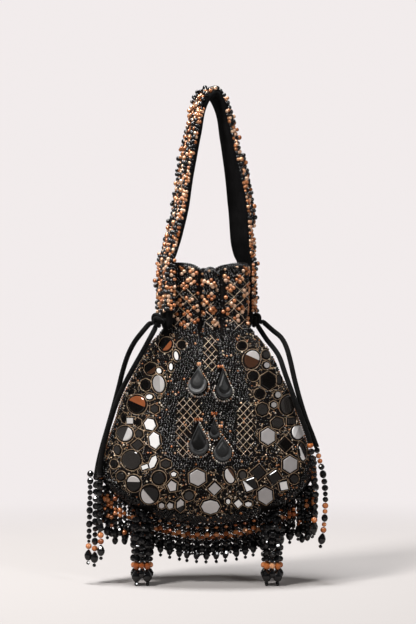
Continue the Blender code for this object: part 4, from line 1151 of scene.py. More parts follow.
def add_collar_pearls():
    rng = np.random.default_rng(6)
    tray = Tray()
    for side in (-1, 1):
        points, normals = pearl_places(side)
        radius = rng.uniform(0.0016, 0.0020, len(points))
        raised = points + normals * (radius * 0.85)[:, None]
        tray.add("pearl", "pearl", raised, radius, pick(rng, COPPERS, len(points)))
    for z_share in SIDE_PEARL_LEVELS:
        for degrees in SIDE_PEARL_DEGREES:
            level = NECK + COLLAR_HEIGHT * z_share + rng.uniform(-0.004, 0.004)
            turn = np.array([degrees - 2.2, degrees + 2.2, degrees, degrees]) + rng.uniform(-1, 1)
            rise = np.array([0.0, 0.0, 0.0021, -0.0021]) + level
            tray.add("pearl", "pearl", on_shell(turn, rise, 0.0013), 0.0017, pick(rng, COPPERS, 4))
    tray.sew("collar_pearls", "pearl", PEARL, "pouch")


def outline(sides, width, height, turn, count=28):
    """Points round a tile: a circle for many sides, else its corners with points between them."""
    if sides >= 10:
        angles = np.arange(count) * 2 * np.pi / count
        ring = np.stack([np.cos(angles), np.sin(angles)], axis=1)
    else:
        step = 2 * np.pi / sides
        first = np.pi / 2 if sides != 4 else np.pi / 4
        corners = np.array([(math.cos(first + i * step), math.sin(first + i * step)) for i in range(sides)])
        share = np.linspace(0, 1, 5)[:-1, None]
        ring = np.concatenate([a + (b - a) * share for a, b in zip(corners, np.roll(corners, -1, axis=0))])
        if sides == 4:
            ring *= 1.18
    ring = ring * (width / 2, height / 2)
    cos, sin = math.cos(math.radians(turn)), math.sin(math.radians(turn))
    return ring @ np.array([[cos, sin], [-sin, cos]])


def add_mirrors(side, label):
    """Mirror tiles with bevelled edges, coloured with painted reflections, some split by what they reflect,
    each in a ring of gold thread.
    """
    rng = np.random.default_rng(21)
    bm = bmesh.new()
    bm.loops.layers.float_color.new("tint")
    rings = []
    for px, py, width, height, sides, turn, tone, *other in MIRRORS:
        normal = spots([px], [py], side)[1][0]
        ring = outline(sides, width, height, turn)
        ring_points = spots(px + ring[:, 0], py - ring[:, 1], side)[0]
        middle = ring_points.mean(axis=0)
        frame = np.array(facing(middle, normal))
        flat = (ring_points - middle) @ frame[:3, :3]
        lift = min(0.0005, MIRROR_THICKNESS / 2) + max(0.0, float(flat[:, 2].max())) * 0.35
        section = [(1.0, -0.0012), (1.0, 0.4 * MIRROR_THICKNESS), (0.93, MIRROR_THICKNESS)]
        loops = [
            [Vector(middle + frame[:3, :3] @ np.array([x * keep, y * keep, lift + rise])) for x, y, _ in flat]
            for keep, rise in section
        ]
        part = bmesh.new()
        part_tone = part.loops.layers.float_color.new("tint")
        start, end = extruded_rings(part, loops)
        for edges in (start, end):
            bmesh.ops.contextual_create(part, geom=edges)
        if other:
            line = Vector(frame[:3, :3] @ np.array([math.cos(px * 1.7), math.sin(px * 1.7), 0.0]))
            place = Vector(middle) + line * (0.0006 + 0.0012 * rng.random())
            bmesh.ops.bisect_plane(
                part, geom=part.verts[:] + part.edges[:] + part.faces[:], plane_co=place, plane_no=line
            )
        bmesh.ops.recalc_face_normals(part, faces=part.faces)
        # Each face takes the tile's painted reflection, or the painted reflection of its other part
        for face in part.faces:
            away = other and (face.calc_center_median() - place).dot(line) > 0
            colour = TONES[other[0] if away else tone]
            # The bevelled sides get a darker painted reflection
            if face.normal.dot(Vector(normal)) < 0.5:
                colour = tuple(c * 0.5 for c in TONES["dim_reflection"])
            for loop in face.loops:
                loop[part_tone] = (*colour, 1.0)
        mesh = mesh_of("tile", part)
        bm.from_mesh(mesh)
        bpy.data.meshes.remove(mesh)
        wide = outline(sides, width + 2 * MIRROR_RIM_PX, height + 2 * MIRROR_RIM_PX, turn)
        line_points, line_normals = spots(px + wide[:, 0], py - wide[:, 1], side)
        rings.append((line_points + line_normals * 0.0005, True))
    piece_of(f"mirror_tiles_{label}", bm, MIRROR, smooth=False)
    thread_piece(f"mirror_rings_{label}", rings, RING_THREAD, RING_GOLDS, ZARI)


def add_scribbles(side, label):
    """Short gold threads and the lattice lines between the beads."""
    rng = np.random.default_rng(31)
    lines = []
    tiles = [(px, py, w / 2 + 2.2, h / 2 + 2.2) for px, py, w, h, *_ in MIRRORS]
    left, right, top, bottom = THREAD_BOX
    x = rng.uniform(left, right, THREAD_TRIES)
    y = rng.uniform(top, bottom, THREAD_TRIES)
    keep = clear_of(x, y, tiles) & ~in_panel(x, y) & ~near_seam(x, y)
    width = half_width((FLOOR_PX - y) * PIXEL)
    keep &= np.abs(x - MIDDLE_PX) * PIXEL < width * 0.97
    for px, py in list(zip(x[keep], y[keep]))[:THREADS]:
        way, bend, reach = rng.uniform(0, math.pi), rng.uniform(-2.0, 2.0), rng.uniform(1.4, 3.0)
        steps = np.linspace(-1, 1, 6)
        path_x = px + steps * reach * math.cos(way) - bend * (steps**2 - 0.4) * math.sin(way)
        path_y = py + steps * reach * math.sin(way) + bend * (steps**2 - 0.4) * math.cos(way)
        points, normals = spots(path_x, path_y, side)
        lines.append((points + normals * 0.0009, False))
    thread_piece(f"gold_threads_{label}", lines, GOLD_THREAD, RING_GOLDS, ZARI)
    stones = stone_places() if side < 0 else []
    lines = []
    for x0, x1, y0, y1, factor in LATTICES:
        width, height = x1 - x0, y1 - y0
        for slope in (-1, 1):
            for offset in np.arange(-height, width + height, LATTICE_PITCH_PX * factor):
                t = np.arange(0.0, height + 0.1, 2.0)
                path_x = x0 + offset + (t if slope > 0 else height - t) * 0.9 + rng.uniform(-0.5, 0.5)
                path_y = y0 + t
                # No lattice in the folds' painted shade
                inside = in_patch(path_x, path_y, (x0, x1, y0, y1)) & ~in_fold_shade(path_x, path_y)
                inside &= clear_of(path_x, path_y, stones)
                if inside.sum() < 3:
                    continue
                points, normals = spots(path_x[inside], path_y[inside], side)
                gaps = np.linalg.norm(np.diff(points, axis=0), axis=1)
                if gaps.max() < 0.008:
                    lines.append((points + normals * 0.0021, False))
    thread_piece(f"lattice_threads_{label}", lines, GOLD_THREAD, (GOLDS[0], SILVERS[2]), ZARI)


def add_edge_piping():
    """Copper and gold beads along both side seams, and black ones round the collar's edge."""
    rng = np.random.default_rng(41)
    tray = Tray()
    for degrees in (-3.0, 183.0):
        z = np.arange(BELLY + 0.012, NECK - 0.006, 0.0021)
        for turn in (0.0, 3.2):
            middle = degrees + (turn if degrees < 0 else -turn)
            angles = np.full(len(z), middle) + rng.uniform(-0.4, 0.4, len(z))
            colours = pick(rng, COPPERS[:2] + GOLDS[:3], len(z))
            tray.add("pearl", "seed", on_shell(angles, z, 0.0012), 0.00115, colours)
    ring = np.arange(0.0, 360.0, 2.6)
    top = np.full(len(ring), RIM)
    inward = shell_at(ring, top) * (0.99, 0.985, 1.0) + (0.0, 0.0, 0.0006)
    tray.add("rim", "seed", inward, 0.00125, RIM_BLACK)
    gold = ring[::5] + rng.uniform(-2.0, 2.0, len(ring[::5]))
    outward = shell_at(ring, top - 0.0010) + shell_normals(ring, top - 0.0016) * 0.0012
    tray.add("rim", "seed", outward, 0.00120, RIM_BLACK)
    level = np.full(len(gold), RIM - 0.0022)
    tray.add("pearl", "seed", on_shell(gold, level, 0.0015), 0.0013, pick(rng, COPPERS, len(gold)))
    tray.sew("seam_piping", "pearl", PEARL, "pouch")
    tray.sew("collar_edge_beads", "rim", JET, "pouch")


# Stones

def teardrop(width, length, count=27):
    half = width / 2
    centre = -(length - half)
    start = math.acos(min(0.99, half / -centre)) * 0.80
    angles = [math.pi / 2 - start - (2 * math.pi - 2 * start) * i / count for i in range(count + 1)]
    rim = [(half * math.cos(a), centre + half * math.sin(a) + length / 2) for a in angles]
    return np.array([(0.0, length / 2)] + rim)


def add_stones():
    """Teardrop stones: a grey bevelled rim round a dark domed middle, bordered with pearls."""
    rng = np.random.default_rng(51)
    tray = Tray()
    for name, across, rise, width, length, standoff, rim_grey, middle_grey in STONES:
        z = BOTTOM + rise - length / 2
        degrees = np.array([-math.degrees(math.acos(across / half_width(z)))])
        point, normal = shell_at(degrees, z)[0], shell_normals(degrees, z)[0]
        frame = facing(point + normal * (GAP + standoff + STONE_THICKNESS / 2), normal)
        thick = STONE_THICKNESS / 2
        shape = teardrop(width, length)
        profile = ((0.90, -thick), (1.0, -thick * 0.4), (1.0, thick * 0.3), (0.90, thick * 0.95),
                   (0.72, thick * 0.80), (0.68, thick * 0.62), (0.45, thick * 1.02), (0.22, thick * 1.15))
        loops = [[frame @ Vector((x * keep, y * keep, lift)) for x, y in shape] for keep, lift in profile]
        bm = bmesh.new()
        layer = bm.verts.layers.float_color.new("tint")
        start, end = extruded_rings(bm, loops)
        bmesh.ops.contextual_create(bm, geom=start)
        top = bmesh.ops.contextual_create(bm, geom=end)["faces"]
        bmesh.ops.poke(bm, faces=top)
        bmesh.ops.recalc_face_normals(bm, faces=bm.faces)
        inverse = frame.inverted()
        for vert in bm.verts:
            local = inverse @ vert.co
            share = math.hypot(local.x / width, local.y / length) * 2
            grey = rim_grey if share > 0.78 else middle_grey
            vert[layer] = (grey, grey * 1.02, grey * 1.04, 1.0)
        stone = piece_of(f"teardrop_{name}", bm, STONE, smooth=False)
        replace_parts(stone, f"teardrop_stone_{name}")
        add_border(tray, rng, across, z, width, length)
    for px, py, count in COPPER_BARS:
        x = px + (np.arange(count) - (count - 1) / 2) * 2.2
        points, normals = spots(x, np.full(count, py))
        size = np.tile((0.00095, 0.0017, 0.00095), (count, 1))
        frames = frames_on(normals)
        tray.add("copper", "pearl", points + normals * 0.0016, size, pick(rng, FRINGE_COPPERS, count), frames)
    tray.sew("stone_borders", "pearl", PEARL, "pouch")
    tray.sew("copper_bars", "copper", COPPER_GLASS, "pouch")


def add_border(tray, rng, across, z, width, length):
    """Pearly seed beads sewn round a stone."""
    shape = teardrop(width + 0.0028, length + 0.0030, 40)
    run = run_along(shape)
    places = np.arange(0.0, run[-1], 0.0021)
    x, up = np.interp(places, run, shape[:, 0]), np.interp(places, run, shape[:, 1])
    level = z + up
    degrees = -np.degrees(np.arccos(np.clip((across + x) / half_width(level), -1, 1)))
    radius = rng.uniform(0.0008, 0.00105, len(level))
    tray.add("pearl", "seed", on_shell(degrees, level, 0.0013), radius, pick(rng, PALES, len(level)))


# Strap

def route_length(points):
    return sum((b - a).length for a, b in zip(points, points[1:]))


def along_route(points, distance):
    for a, b in zip(points, points[1:]):
        length = (b - a).length
        if distance <= length or b is points[-1]:
            return a.lerp(b, distance / length)
        distance -= length
    return points[-1]


def strap_stations(count):
    """Middle points of the band with its across and outward directions, evenly spaced from the left end."""
    places = [i / 200 * (len(STRAP_CURVE) - 1) for i in range(201)]
    spans = [(i, row[1]) for i, row in enumerate(STRAP_CURVE)]
    rises = [(i, row[0]) for i, row in enumerate(STRAP_CURVE)]
    half = [(between(spans, s), between(rises, s)) for s in places]
    flat = [(-span, rise) for span, rise in half] + half[-2::-1]
    line = []
    for x, y in flat:
        lean = STRAP_LEAN * float(smooth_step((y - 0.28) / 0.24))
        line.append(Vector((x * STRAP_HALF_SPAN + lean, 0.0, y * STRAP_RISE)))
    length = route_length(line)
    frame_turn = Matrix((STRAP_AXIS, STRAP_ACROSS, UP)).transposed()
    found = []
    for i in range(count + 1):
        share = i / count
        here = along_route(line, share * length)
        along = along_route(line, min(1.0, share + 0.01) * length)
        along = along - along_route(line, max(0.0, share - 0.01) * length)
        along.normalize()
        twist = Matrix.Rotation(math.radians(between(STRAP_TWIST, share)), 3, frame_turn @ along)
        across = twist @ STRAP_ACROSS
        outward = twist @ (frame_turn @ Vector((-along.z, 0.0, along.x)))
        found.append((frame_turn @ here + UP * NECK, across, outward))
    return found, length


STATIONS, STRAP_LENGTH = strap_stations(160)


def add_strap_band():
    """The padded velvet band: a crowned strip with rounded ends."""
    half, thick = STRAP_WIDTH / 2, STRAP_THICKNESS / 2
    corner = [math.radians(a) for a in (0, 30, 60, 90)]
    round_edge = thick * 0.8
    section = []
    for sign_a, sign_o in ((1, 1), (-1, 1), (-1, -1), (1, -1)):
        for a in (corner if sign_a == sign_o else corner[::-1]):
            section.append((
                sign_a * (half - round_edge + round_edge * math.cos(a)),
                sign_o * (thick - round_edge + round_edge * math.sin(a)),
            ))
    tail = STRAP_END_RADIUS
    rings = []
    first, last = STATIONS[0], STATIONS[-1]
    steps = [math.sin(math.radians(a)) for a in (88, 75, 60, 42, 22)]
    ends = [(first[0] - UP * tail * s, first[1], first[2]) for s in steps]
    stations = ends + STATIONS + [(last[0] - UP * tail * s, last[1], last[2]) for s in steps[::-1]]
    for number, (middle, across, outward) in enumerate(stations):
        rise = middle.z - NECK
        branch = smooth_step((abs(number / len(stations) - 0.5) - 0.04) / 0.06)
        padding = 1.0 + 1.0 * float(branch * smooth_step((rise - 0.0515) / 0.024))
        if rise < 0:
            reach = math.sqrt(max(0.0, STRAP_END_RADIUS**2 - rise**2)) + 0.0003
        else:
            reach = min(half, STRAP_END_RADIUS + (half - STRAP_END_RADIUS) * rise / STRAP_TAPER)
        rings.append([
            middle + across * (a * reach / half) + outward * (o if o > 0 else o * padding) for a, o in section
        ])
    bm = bmesh.new()
    for end in extruded_rings(bm, rings):
        bmesh.ops.contextual_create(bm, geom=end)
    bmesh.ops.recalc_face_normals(bm, faces=bm.faces)
    band = piece_of("velvet_band", bm, VELVET, "strap")
    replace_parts(band, "strap_band")


def add_strap_beads():
    """Pearls and black glass sewn close over the band's outer face, in clumps."""
    rng = np.random.default_rng(61)
    parts = [np.array(part) for part in zip(*STATIONS)]
    shares = np.linspace(0.0, 1.0, len(STATIONS))
    tray = Tray()
    spacing = (STRAP_WIDTH - 0.0030) / (STRAP_COLUMNS - 1)

    def place(share):
        return [np.array([np.interp(share, shares, part[:, i]) for i in range(3)]) for part in parts]

    def sew_on(along, across_by, out_by, radius, black):
        middle, across, outward = place(min(1.0, along / STRAP_LENGTH))
        if middle[2] < NECK + STRAND_START - 0.003:
            return
        colour = BLACK if black else COPPERS[rng.integers(0, 4)]
        centre = middle + across * across_by + outward * out_by
        tray.add("black" if black else "pearl", "pearl", centre, radius, colour)

    for column in range(STRAP_COLUMNS):
        along = rng.uniform(0.0, 0.002)
        while along < STRAP_LENGTH:
            clump = (
                math.sin(along / 0.0031 + column * 1.9) + 0.8 * math.sin(along / 0.0053 - column * 2.4 + 1.3)
                + rng.uniform(-0.9, 0.9)
            )
            black = clump > 0.0
            radius = rng.uniform(*(STRAP_JET_RADII if black else STRAP_PEARL_RADII))
            side = (column - (STRAP_COLUMNS - 1) / 2) * spacing + rng.uniform(-0.0005, 0.0005)
            lift = STRAP_THICKNESS / 2 + radius * 0.85
            sew_on(along, side, lift, radius, black)
            if rng.random() < STRAP_SECOND_LAYER:
                beside = side + rng.uniform(-0.001, 0.001)
                sew_on(along, beside, lift + 0.0021, radius * 0.95, rng.random() < 0.5)
            along += radius * 1.95
    edge = -(STRAP_WIDTH / 2 + 0.0002)
    along = 0.0
    while along < STRAP_LENGTH:
        rise = place(along / STRAP_LENGTH)[0][2]
        near_collar = along < STRAP_LENGTH / 2 and rise < RIM + 0.004
        right_half = along > STRAP_LENGTH / 2 + 0.02
        left_half = along < STRAP_LENGTH / 2 - 0.02
        radius = rng.uniform(*STRAP_EDGE_RADII)
        if near_collar or right_half or left_half:
            for out_by in ((-0.0013, 0.0016) if near_collar else (0.0004, 0.0022)):
                tucked = edge if near_collar else edge + 0.0006
                sew_on(along + rng.uniform(-0.0006, 0.0006), tucked, out_by, radius, rng.random() < 0.45)
        if right_half and NECK + 0.085 < rise < NECK + 0.150:
            for out_by in (0.0030, 0.0060):
                bulge = edge + rng.uniform(-0.001, 0.003)
                sew_on(along, bulge, out_by + rng.uniform(0.0, 0.0012), radius * 1.25, rng.random() < 0.55)
        along += radius * 2.0
    for _ in range(STRAP_TUFT):
        tuft = STRAP_LENGTH / 2 + rng.uniform(0.0015, 0.0085)
        sew_on(tuft, rng.uniform(-0.006, 0.004), 0.0052 + rng.uniform(0.0, 0.0012), 0.0019, True)
    names = [f"strap_bead_strand_{i}" for i in (1, 2, 3, 4)]
    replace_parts(tray.sew("strap_pearls", "pearl", PEARL, "strap"), *names[:2])
    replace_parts(tray.sew("strap_black_beads", "black", JET, "strap"), *names[2:])


# Cords

def smooth_route(points, steps):
    """A smooth curve through the points, in so many steps between each two."""
    found = []
    for i in range(len(points) - 1):
        p0, p1, p2 = points[max(0, i - 1)], points[i], points[i + 1]
        p3 = points[min(len(points) - 1, i + 2)]
        for k in range(steps):
            t = k / steps
            found.append(
                0.5 * (2 * p1 + (p2 - p0) * t + (2 * p0 - 5 * p1 + 4 * p2 - p3) * t * t
                       + (3 * p1 - p0 - 3 * p2 + p3) * t**3)
            )
    return found + [points[-1]]


def knot_place(side):
    return STRAP_AXIS * (side * KNOT_CENTRE) + UP * NECK


def tail_route(name):
    leaving, *route = TAILS[name]
    knot = knot_place(math.copysign(1, leaving[0]))
    way = Vector(leaving).normalized()
    start = [knot + way * (KNOT_RADIUS + GAP + on) for on in (0.0, CORD_DIAMETER * 0.4)]
    return smooth_route(start + [Vector((x, y, NECK + z)) for x, y, z in route], 3)


def add_cord_curve(name, points, body):
    """A cord as a bevelled curve of one open spline."""
    curve = round_curve(name, [(points, False)], CORD_DIAMETER / 2, 4)
    curve.materials.append(CORD_CLOTH)
    made = in_scene(name, curve)
    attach(made, body)
    return made


def jet(kind, half, length, finish="black"):
    """A black bead for strung: its kind, half width and length along the thread, then finish and colour."""
    return (kind, half, length, finish, BLACK)


def coppery(rng, kind, half, length, finish="copper", shades=3):
    return (kind, half, length, finish, FRINGE_COPPERS[rng.integers(0, shades)])


def strand_length(beads):
    return sum(bead[2] for bead in beads)


def strung(tray, route, beads):
    """Beads down a route from its top, each turned freely on its thread."""
    down = 0.0
    turns = np.random.default_rng(int(abs(route[0].x) * 1e5) + len(beads))
    for kind, half, length, finish, colour in beads:
        centre = along_route(route, down + length / 2)
        above, below = along_route(route, down), along_route(route, down + length)
        way = (above - below).normalized()
        tilt = 0.8 if kind == "cut" and abs(half * 2 - length) < length / 2 else 0.1
        spin = Matrix.Rotation(turns.uniform(0.0, math.pi), 3, "Z")
        spin = spin @ Matrix.Rotation(turns.uniform(-tilt, tilt), 3, "X")
        turned = np.array(way.to_track_quat("Z", "Y").to_matrix() @ spin)
        tray.add(finish, kind, np.array(centre), (half, half, length / 2 * 0.98), colour, turned[None])
        down += length


def add_cords():
    """Four free tails, each ending in bead strands, with the two knots and the drawstrings in the neck."""
    rng = np.random.default_rng(71)
    ends = {}
    for name, (tail, away, route) in TAIL_STRANDS.items():
        start = tail_route(tail)[-1] + Vector(away)
        points = smooth_route([start] + [Vector((x, y, NECK + z)) for x, y, z in route], 6)
        ending = [
            coppery(rng, "pearl", COPPER_BEAD / 2 * 0.92, COPPER_BEAD * 0.9, "all"),
            jet("drop", DROP_BEAD / 2, DROP_LENGTH, "all"), jet("cut", END_BEAD / 2, END_BEAD, "all"),
        ]
        room = route_length(points) - strand_length(ending)
        beads = []
        while room > 0.0026:
            size = min(room, rng.uniform(0.0044, 0.0078))
            half = min(size * 0.5, 0.0031)
            if rng.random() < 0.20 and size < 0.0062:
                beads.append(coppery(rng, "pearl", half, size, "all"))
            else:
                beads.append(jet("cut", half, size, "all"))
            room -= size
        tray = Tray()
        strung(tray, points, beads + ending)
        strand = tray.sew(f"beads_{name}", "all", STRAND_GLASS, "pouch")
        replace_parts(strand, name)
        ends.setdefault(tail, []).append(strand)
    for name in TAILS:
        points = tail_route(name)
        points.append(points[-1] + (points[-1] - points[-2]).normalized() * CORD_RUN_ON)
        cord = add_cord_curve(f"velvet_{name}", points, "pouch")
        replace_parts(cord, name)
    for name, side in (("left_knot", -1), ("right_knot", 1)):
        add_knot(name, side)
    for name, side, lift in (("left_neck_cord", -1, 1), ("right_neck_cord", 1, -1)):
        add_neck_cord(name, side, lift)


def add_knot(name, side):
    """An overhand knot of the doubled cord, pulled tight against the strap's end."""
    angles = np.linspace(0.0, 2 * np.pi, 73)[:-1]
    reach = 0.0034 + 0.0019 * np.cos(3 * angles)
    flat = [reach * np.cos(2 * angles), reach * np.sin(2 * angles), 0.0019 * np.sin(3 * angles)]
    flat = np.stack(flat, axis=1)
    turn = (STRAP_AXIS * side).to_track_quat("Z", "Y").to_matrix() @ Matrix.Rotation(0.5, 3, "X")
    points = flat @ np.array(turn).T + np.array(knot_place(side))
    stem = STRAP_AXIS * side
    start = stem * (STRAP_INNER - CORD_EXIT) + UP * NECK
    end = stem * (KNOT_CENTRE - 0.002) + UP * NECK
    beside = STRAP_ACROSS * CORD_DIAMETER * 0.42
    lines = [(points, True)]
    lines += [(np.array([start + shift, end + shift]), False) for shift in (beside, -beside)]
    for tail in TAILS:
        if tail.startswith(name.split("_")[0]):
            first, second = tail_route(tail)[:2]
            inside = knot_place(side).lerp(first, 0.35)
            lines.append((np.array([inside, first - (second - first) * 0.12]), False))
    knot = thread_piece(f"velvet_{name}", lines, 0.00205, (BLACK, BLACK), CORD_CLOTH, resolution=3)
    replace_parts(knot, name)


def add_neck_cord(name, side, lift):
    """A drawstring inside the neck, between pouch and lining, open at its own side."""
    inner = 1.0 - PLEAT_DEPTH
    away = WALL + CORD_GAP * 2 + CORD_DIAMETER / 2
    width = NECK_WIDTH / 2 * inner - away
    depth = NECK_DEPTH / 2 * inner - away
    height = NECK + lift * (CORD_DIAMETER / 2 + CORD_GAP)
    exit_angle = math.atan2(side * STRAP_AXIS.y / depth, side * STRAP_AXIS.x / width)
    span = math.radians(30.0)
    angles = exit_angle + span + (2 * math.pi - 2 * span) * np.linspace(0, 1, 49)
    points = [Vector((width * math.cos(a), depth * math.sin(a), height)) for a in angles]
    reach = STRAP_INNER - CORD_EXIT - GAP
    beside = CORD_DIAMETER / 2 + CORD_GAP

    def leg(turn):
        at = [reach, reach - CORD_DIAMETER * 0.6]
        return [STRAP_AXIS * (side * r) + STRAP_ACROSS * (turn * side * beside) + UP * height for r in at]

    cord = add_cord_curve(f"velvet_{name}", leg(1) + points + leg(-1)[::-1], "pouch")
    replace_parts(cord, name)


# Fringe and tassels

def seam_stations():
    """Where fringe strands hang along the seam: (x, z) rows evenly spaced, left to right."""
    samples = 400
    top = BOTTOM + FRINGE_TOP_RISE
    right = []
    for i in range(samples + 1):
        z = BOTTOM + (top - BOTTOM) * (i / samples) ** 2
        right.append(Vector((half_axes(z)[0], z)))
    count = int(route_length(right) / FRINGE_PITCH)
    found, travelled, wanted = [], 0.0, 0
    for a, b in zip(right, right[1:]):
        step = (b - a).length
        while wanted <= count and wanted * FRINGE_PITCH <= travelled + step:
            found.append(a.lerp(b, (wanted * FRINGE_PITCH - travelled) / step))
            wanted += 1
        travelled += step
    left = [Vector((-p.x, p.y)) for p in reversed(found[1:])]
    return left + found


def hang_place(x, z):
    """Where a strand sewn at this seam point hangs, clear of the belly, and where its first bead starts."""
    clear = BEAD / 2 + SEAM_GAP
    share = abs(x) / (BELLY_WIDTH / 2)
    if z > BELLY - 0.012:
        return math.copysign(BELLY_WIDTH / 2 + clear, x), z - SEAM_GAP - 0.0012 * share**6 - BEAD / 2
    slope = float(smooth_step((share - 0.75) / 0.22))
    return x + math.copysign(clear * slope, x), z - SEAM_GAP - 0.0012 * share**6


def fringe_strand(rng, length, full):
    """The beads of one strand: black net rows, a copper row, cut beads, and a drop low down if it is full."""
    net = [jet("cut", 0.0020, NET_ROW) for _ in range(3)]
    chunk = coppery(rng, "cut", 0.0028, 0.0047, shades=4)
    if not full:
        low_chunk = coppery(rng, "cut", 0.0021, 0.0040, shades=4)
        return net + [
            jet("cut", 0.0015, 0.0026), low_chunk, jet("cut", 0.0023, 0.0040), jet("drop", 0.0026, 0.0080),
            jet("cut", 0.0014, 0.0024),
        ]
    net[1] = coppery(rng, "pearl", 0.0020, NET_ROW, shades=4)
    start = net + [chunk, jet("cut", 0.0015, 0.0018)]
    drop = jet("drop", DROP_BEAD / 2 * 0.84, DROP_LENGTH)
    ending = [jet("cut", 0.0028, 0.0050), drop, jet("cut", 0.0016, 0.0031)]
    spare = length - strand_length(start + ending)
    spacer = [jet("cut", 0.0018, spare)] if spare > 0.001 else []
    return start + spacer + ending


def side_strand(rng, length, full):
    """The beads of one of the thick strands at the pouch's sides, copper among black."""
    stop = length - 0.0136 if full else length * rng.uniform(0.55, 0.9)
    beads, down = [], 0.0
    while down < stop - 0.0024:
        size = min(stop - down, rng.uniform(0.0032, 0.0054))
        copper_share = 0.75 if 0.006 < down < 0.0125 else 0.16
        if rng.random() < copper_share:
            beads.append(coppery(rng, "pearl", size * 0.5, size))
        else:
            beads.append(jet("cut", size * 0.5, size))
        down += size
    if full:
        beads += [jet("drop", DROP_BEAD / 2, DROP_LENGTH), jet("cut", 0.0016, 0.0031)]
    elif rng.random() < 0.5:
        beads.append(jet("drop", DROP_BEAD / 2 * 0.8, DROP_LENGTH * 0.8))
    return beads


def tumbled(rng):
    """A frame for one bead, turned any way."""
    return np.array(Euler(tuple(rng.uniform(0.0, math.pi, 3))).to_matrix())[None]


def add_fringe():
    """The bead fringe along the bottom seam, in a front and a back layer."""
    rng = np.random.default_rng(81)
    tray = Tray()
    threads = []
    stations = seam_stations()
    middles = [a.lerp(b, 0.5) for a, b in zip(stations, stations[1:])]
    for a, b in zip(stations, stations[1:]):
        for share in (0.0, 0.2, 0.4, 0.6, 0.8):
            on_seam = a.lerp(b, share)
            if abs(on_seam.x) > BELLY_WIDTH * 0.30:
                out = on_seam.x + math.copysign(SEAM_ROPE_BEAD * 0.8, on_seam.x)
                spot = (out, rng.uniform(-0.0020, 0.0020), on_seam.y - SEAM_GAP)
                turned = tumbled(rng)
                size = SEAM_ROPE_BEAD * rng.uniform(0.85, 1.1)
                tray.add("black", "cut", spot, size, BLACK, turned)
    for full, rows in ((True, stations), (False, middles)):
        for station in rows:
            x, top = hang_place(station.x, station.y)
            share = abs(x) / (BELLY_WIDTH / 2)
            at_side = share > 0.76
            length = FRINGE_LENGTH + FRINGE_SIDE_EXTRA * min(1.0, share) ** 5
            layers = (-0.0046, 0.0, 0.0046) if at_side else (-0.0019, 0.0023)
            for layer, forward in enumerate(layers):
                whole = full and layer == (1 if at_side else 0)
                sway = rng.uniform(-0.0010, 0.0010)
                beads = side_strand(rng, length, whole) if at_side else fringe_strand(rng, length, whole)
                total = strand_length(beads)
                drop = 0.0 if layer == 0 else 0.00135
                away = x + (0.0 if at_side or layer == 0 else FRINGE_PITCH / 4)
                route = [
                    Vector((away, forward, top - drop)),
                    Vector((away + sway * 0.5, forward, top - total * 0.6)),
                    Vector((away + sway, forward, top - drop - total)),
                ]
                strung(tray, route, beads)
                threads.append((np.array(route), False))
    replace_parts(tray.sew("fringe_black_beads", "black", JET, "pouch"), "fringe")
    tray.sew("fringe_copper_beads", "copper", COPPER_GLASS, "pouch")
    thread_piece("fringe_threads", threads, 0.0004, (BLACK, BLACK), CORD_CLOTH)


def shuffled(rng, sizes):
    return [sizes[i] for i in rng.permutation(len(sizes))]


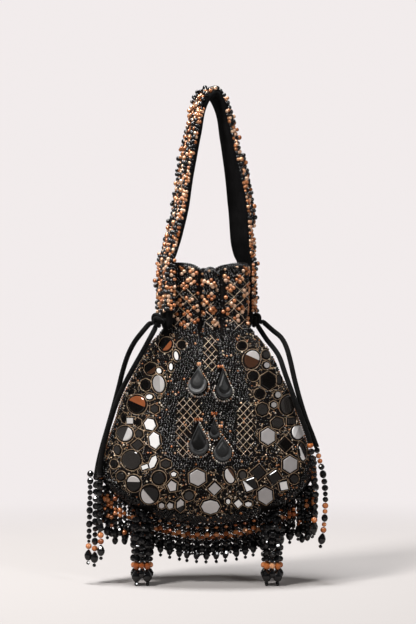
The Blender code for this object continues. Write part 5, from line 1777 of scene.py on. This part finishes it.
def add_foot_tassels():
    """Two thick tassels: a cluster of cut beads over four strands with copper rings and drops."""
    rng = np.random.default_rng(91)
    for name, side in (("left", -1), ("right", 1)):
        body = f"{name}_foot_tassel"
        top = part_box(f"{name}_foot_cap")[1].z
        low = top - FOOT_CAP_HEIGHT
        middle = Vector((side * FOOT_OFFSET, -FOOT_FORWARD, 0.0))
        tray = Tray()
        for level, radius, count, ring in TASSEL_RINGS:
            for i in range(count):
                angle = 2 * math.pi * (i + 0.3 * (count % 2) + rng.uniform(-0.2, 0.2)) / count
                height = top - level + (rng.uniform(-0.0012, 0.0012) if ring else 0.0)
                spot = middle + Vector((math.cos(angle) * ring, math.sin(angle) * ring, height))
                turned = tumbled(rng)
                tray.add("black", "cut", np.array(spot), radius * rng.uniform(0.85, 1.02), BLACK, turned)
        cap = tray.sew(f"{name}_tassel_cap", "black", JET, body)
        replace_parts(cap, f"{name}_foot_cap")
        ring = (FOOT_BEAD + GAP * 2) / 2 / math.sin(math.pi / FOOT_STRANDS)
        for number in range(FOOT_STRANDS):
            angle = math.radians(45.0) + 2 * math.pi * number / FOOT_STRANDS
            around = Vector((math.cos(angle), math.sin(angle), 0.0)) * ring
            start = middle + around + UP * (low - GAP)
            stack = [jet("cut", size * 0.48, size, "all") for size in shuffled(rng, FOOT_STACK)]
            beads = stack + [jet("cut", FOOT_SMALL_BEAD / 2 * 1.05, FOOT_SMALL_BEAD, "all")] * 2 + [
                coppery(rng, "cut", COPPER_BEAD / 2 * 1.12, COPPER_BEAD, "all"),
                jet("drop", FOOT_DROP / 2 * 1.1, FOOT_DROP_LENGTH, "all"),
                jet("cut", END_BEAD / 2, END_BEAD, "all"),
            ]
            below = around.normalized() * 0.0012 - UP * strand_length(beads)
            route = [start, start + below]
            strand_tray = Tray()
            strung(strand_tray, route, beads)
            turned = angle + math.radians(45.0)
            outer = middle + Vector((math.cos(turned), math.sin(turned), 0.0)) * ring * 1.28
            outer = outer + UP * (low - GAP * 2)
            filler = [jet("cut", size * 0.52, size, "all") for size in shuffled(rng, FOOT_FILLER)] + [
                coppery(rng, "cut", COPPER_BEAD / 2 * 0.85, COPPER_BEAD * 0.9, "all", shades=4),
                jet("drop", FOOT_DROP / 2 * 0.72, FOOT_DROP_LENGTH * 0.75, "all"),
            ]
            strung(strand_tray, [outer, outer - UP * strand_length(filler)], filler)
            strand = strand_tray.sew(f"{name}_tassel_beads_{number + 1}", "all", STRAND_GLASS, body)
            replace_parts(strand, f"{name}_foot_strand_{number + 1}")


bpy.context.scene.view_settings.view_transform = "Standard"
add_camera()
add_world()
for lamp_row in LAMPS:
    add_lamp(*lamp_row)
add_floor()
add_cords()
add_pouch_cloth()
add_lining()
add_pocket()
add_pouch_beads()
add_collar_pearls()
for panel_side, panel_label in ((-1, "front"), (1, "back")):
    add_mirrors(panel_side, panel_label)
    add_scribbles(panel_side, panel_label)
add_edge_piping()
add_stones()
add_strap_band()
add_strap_beads()
add_fringe()
add_foot_tassels()
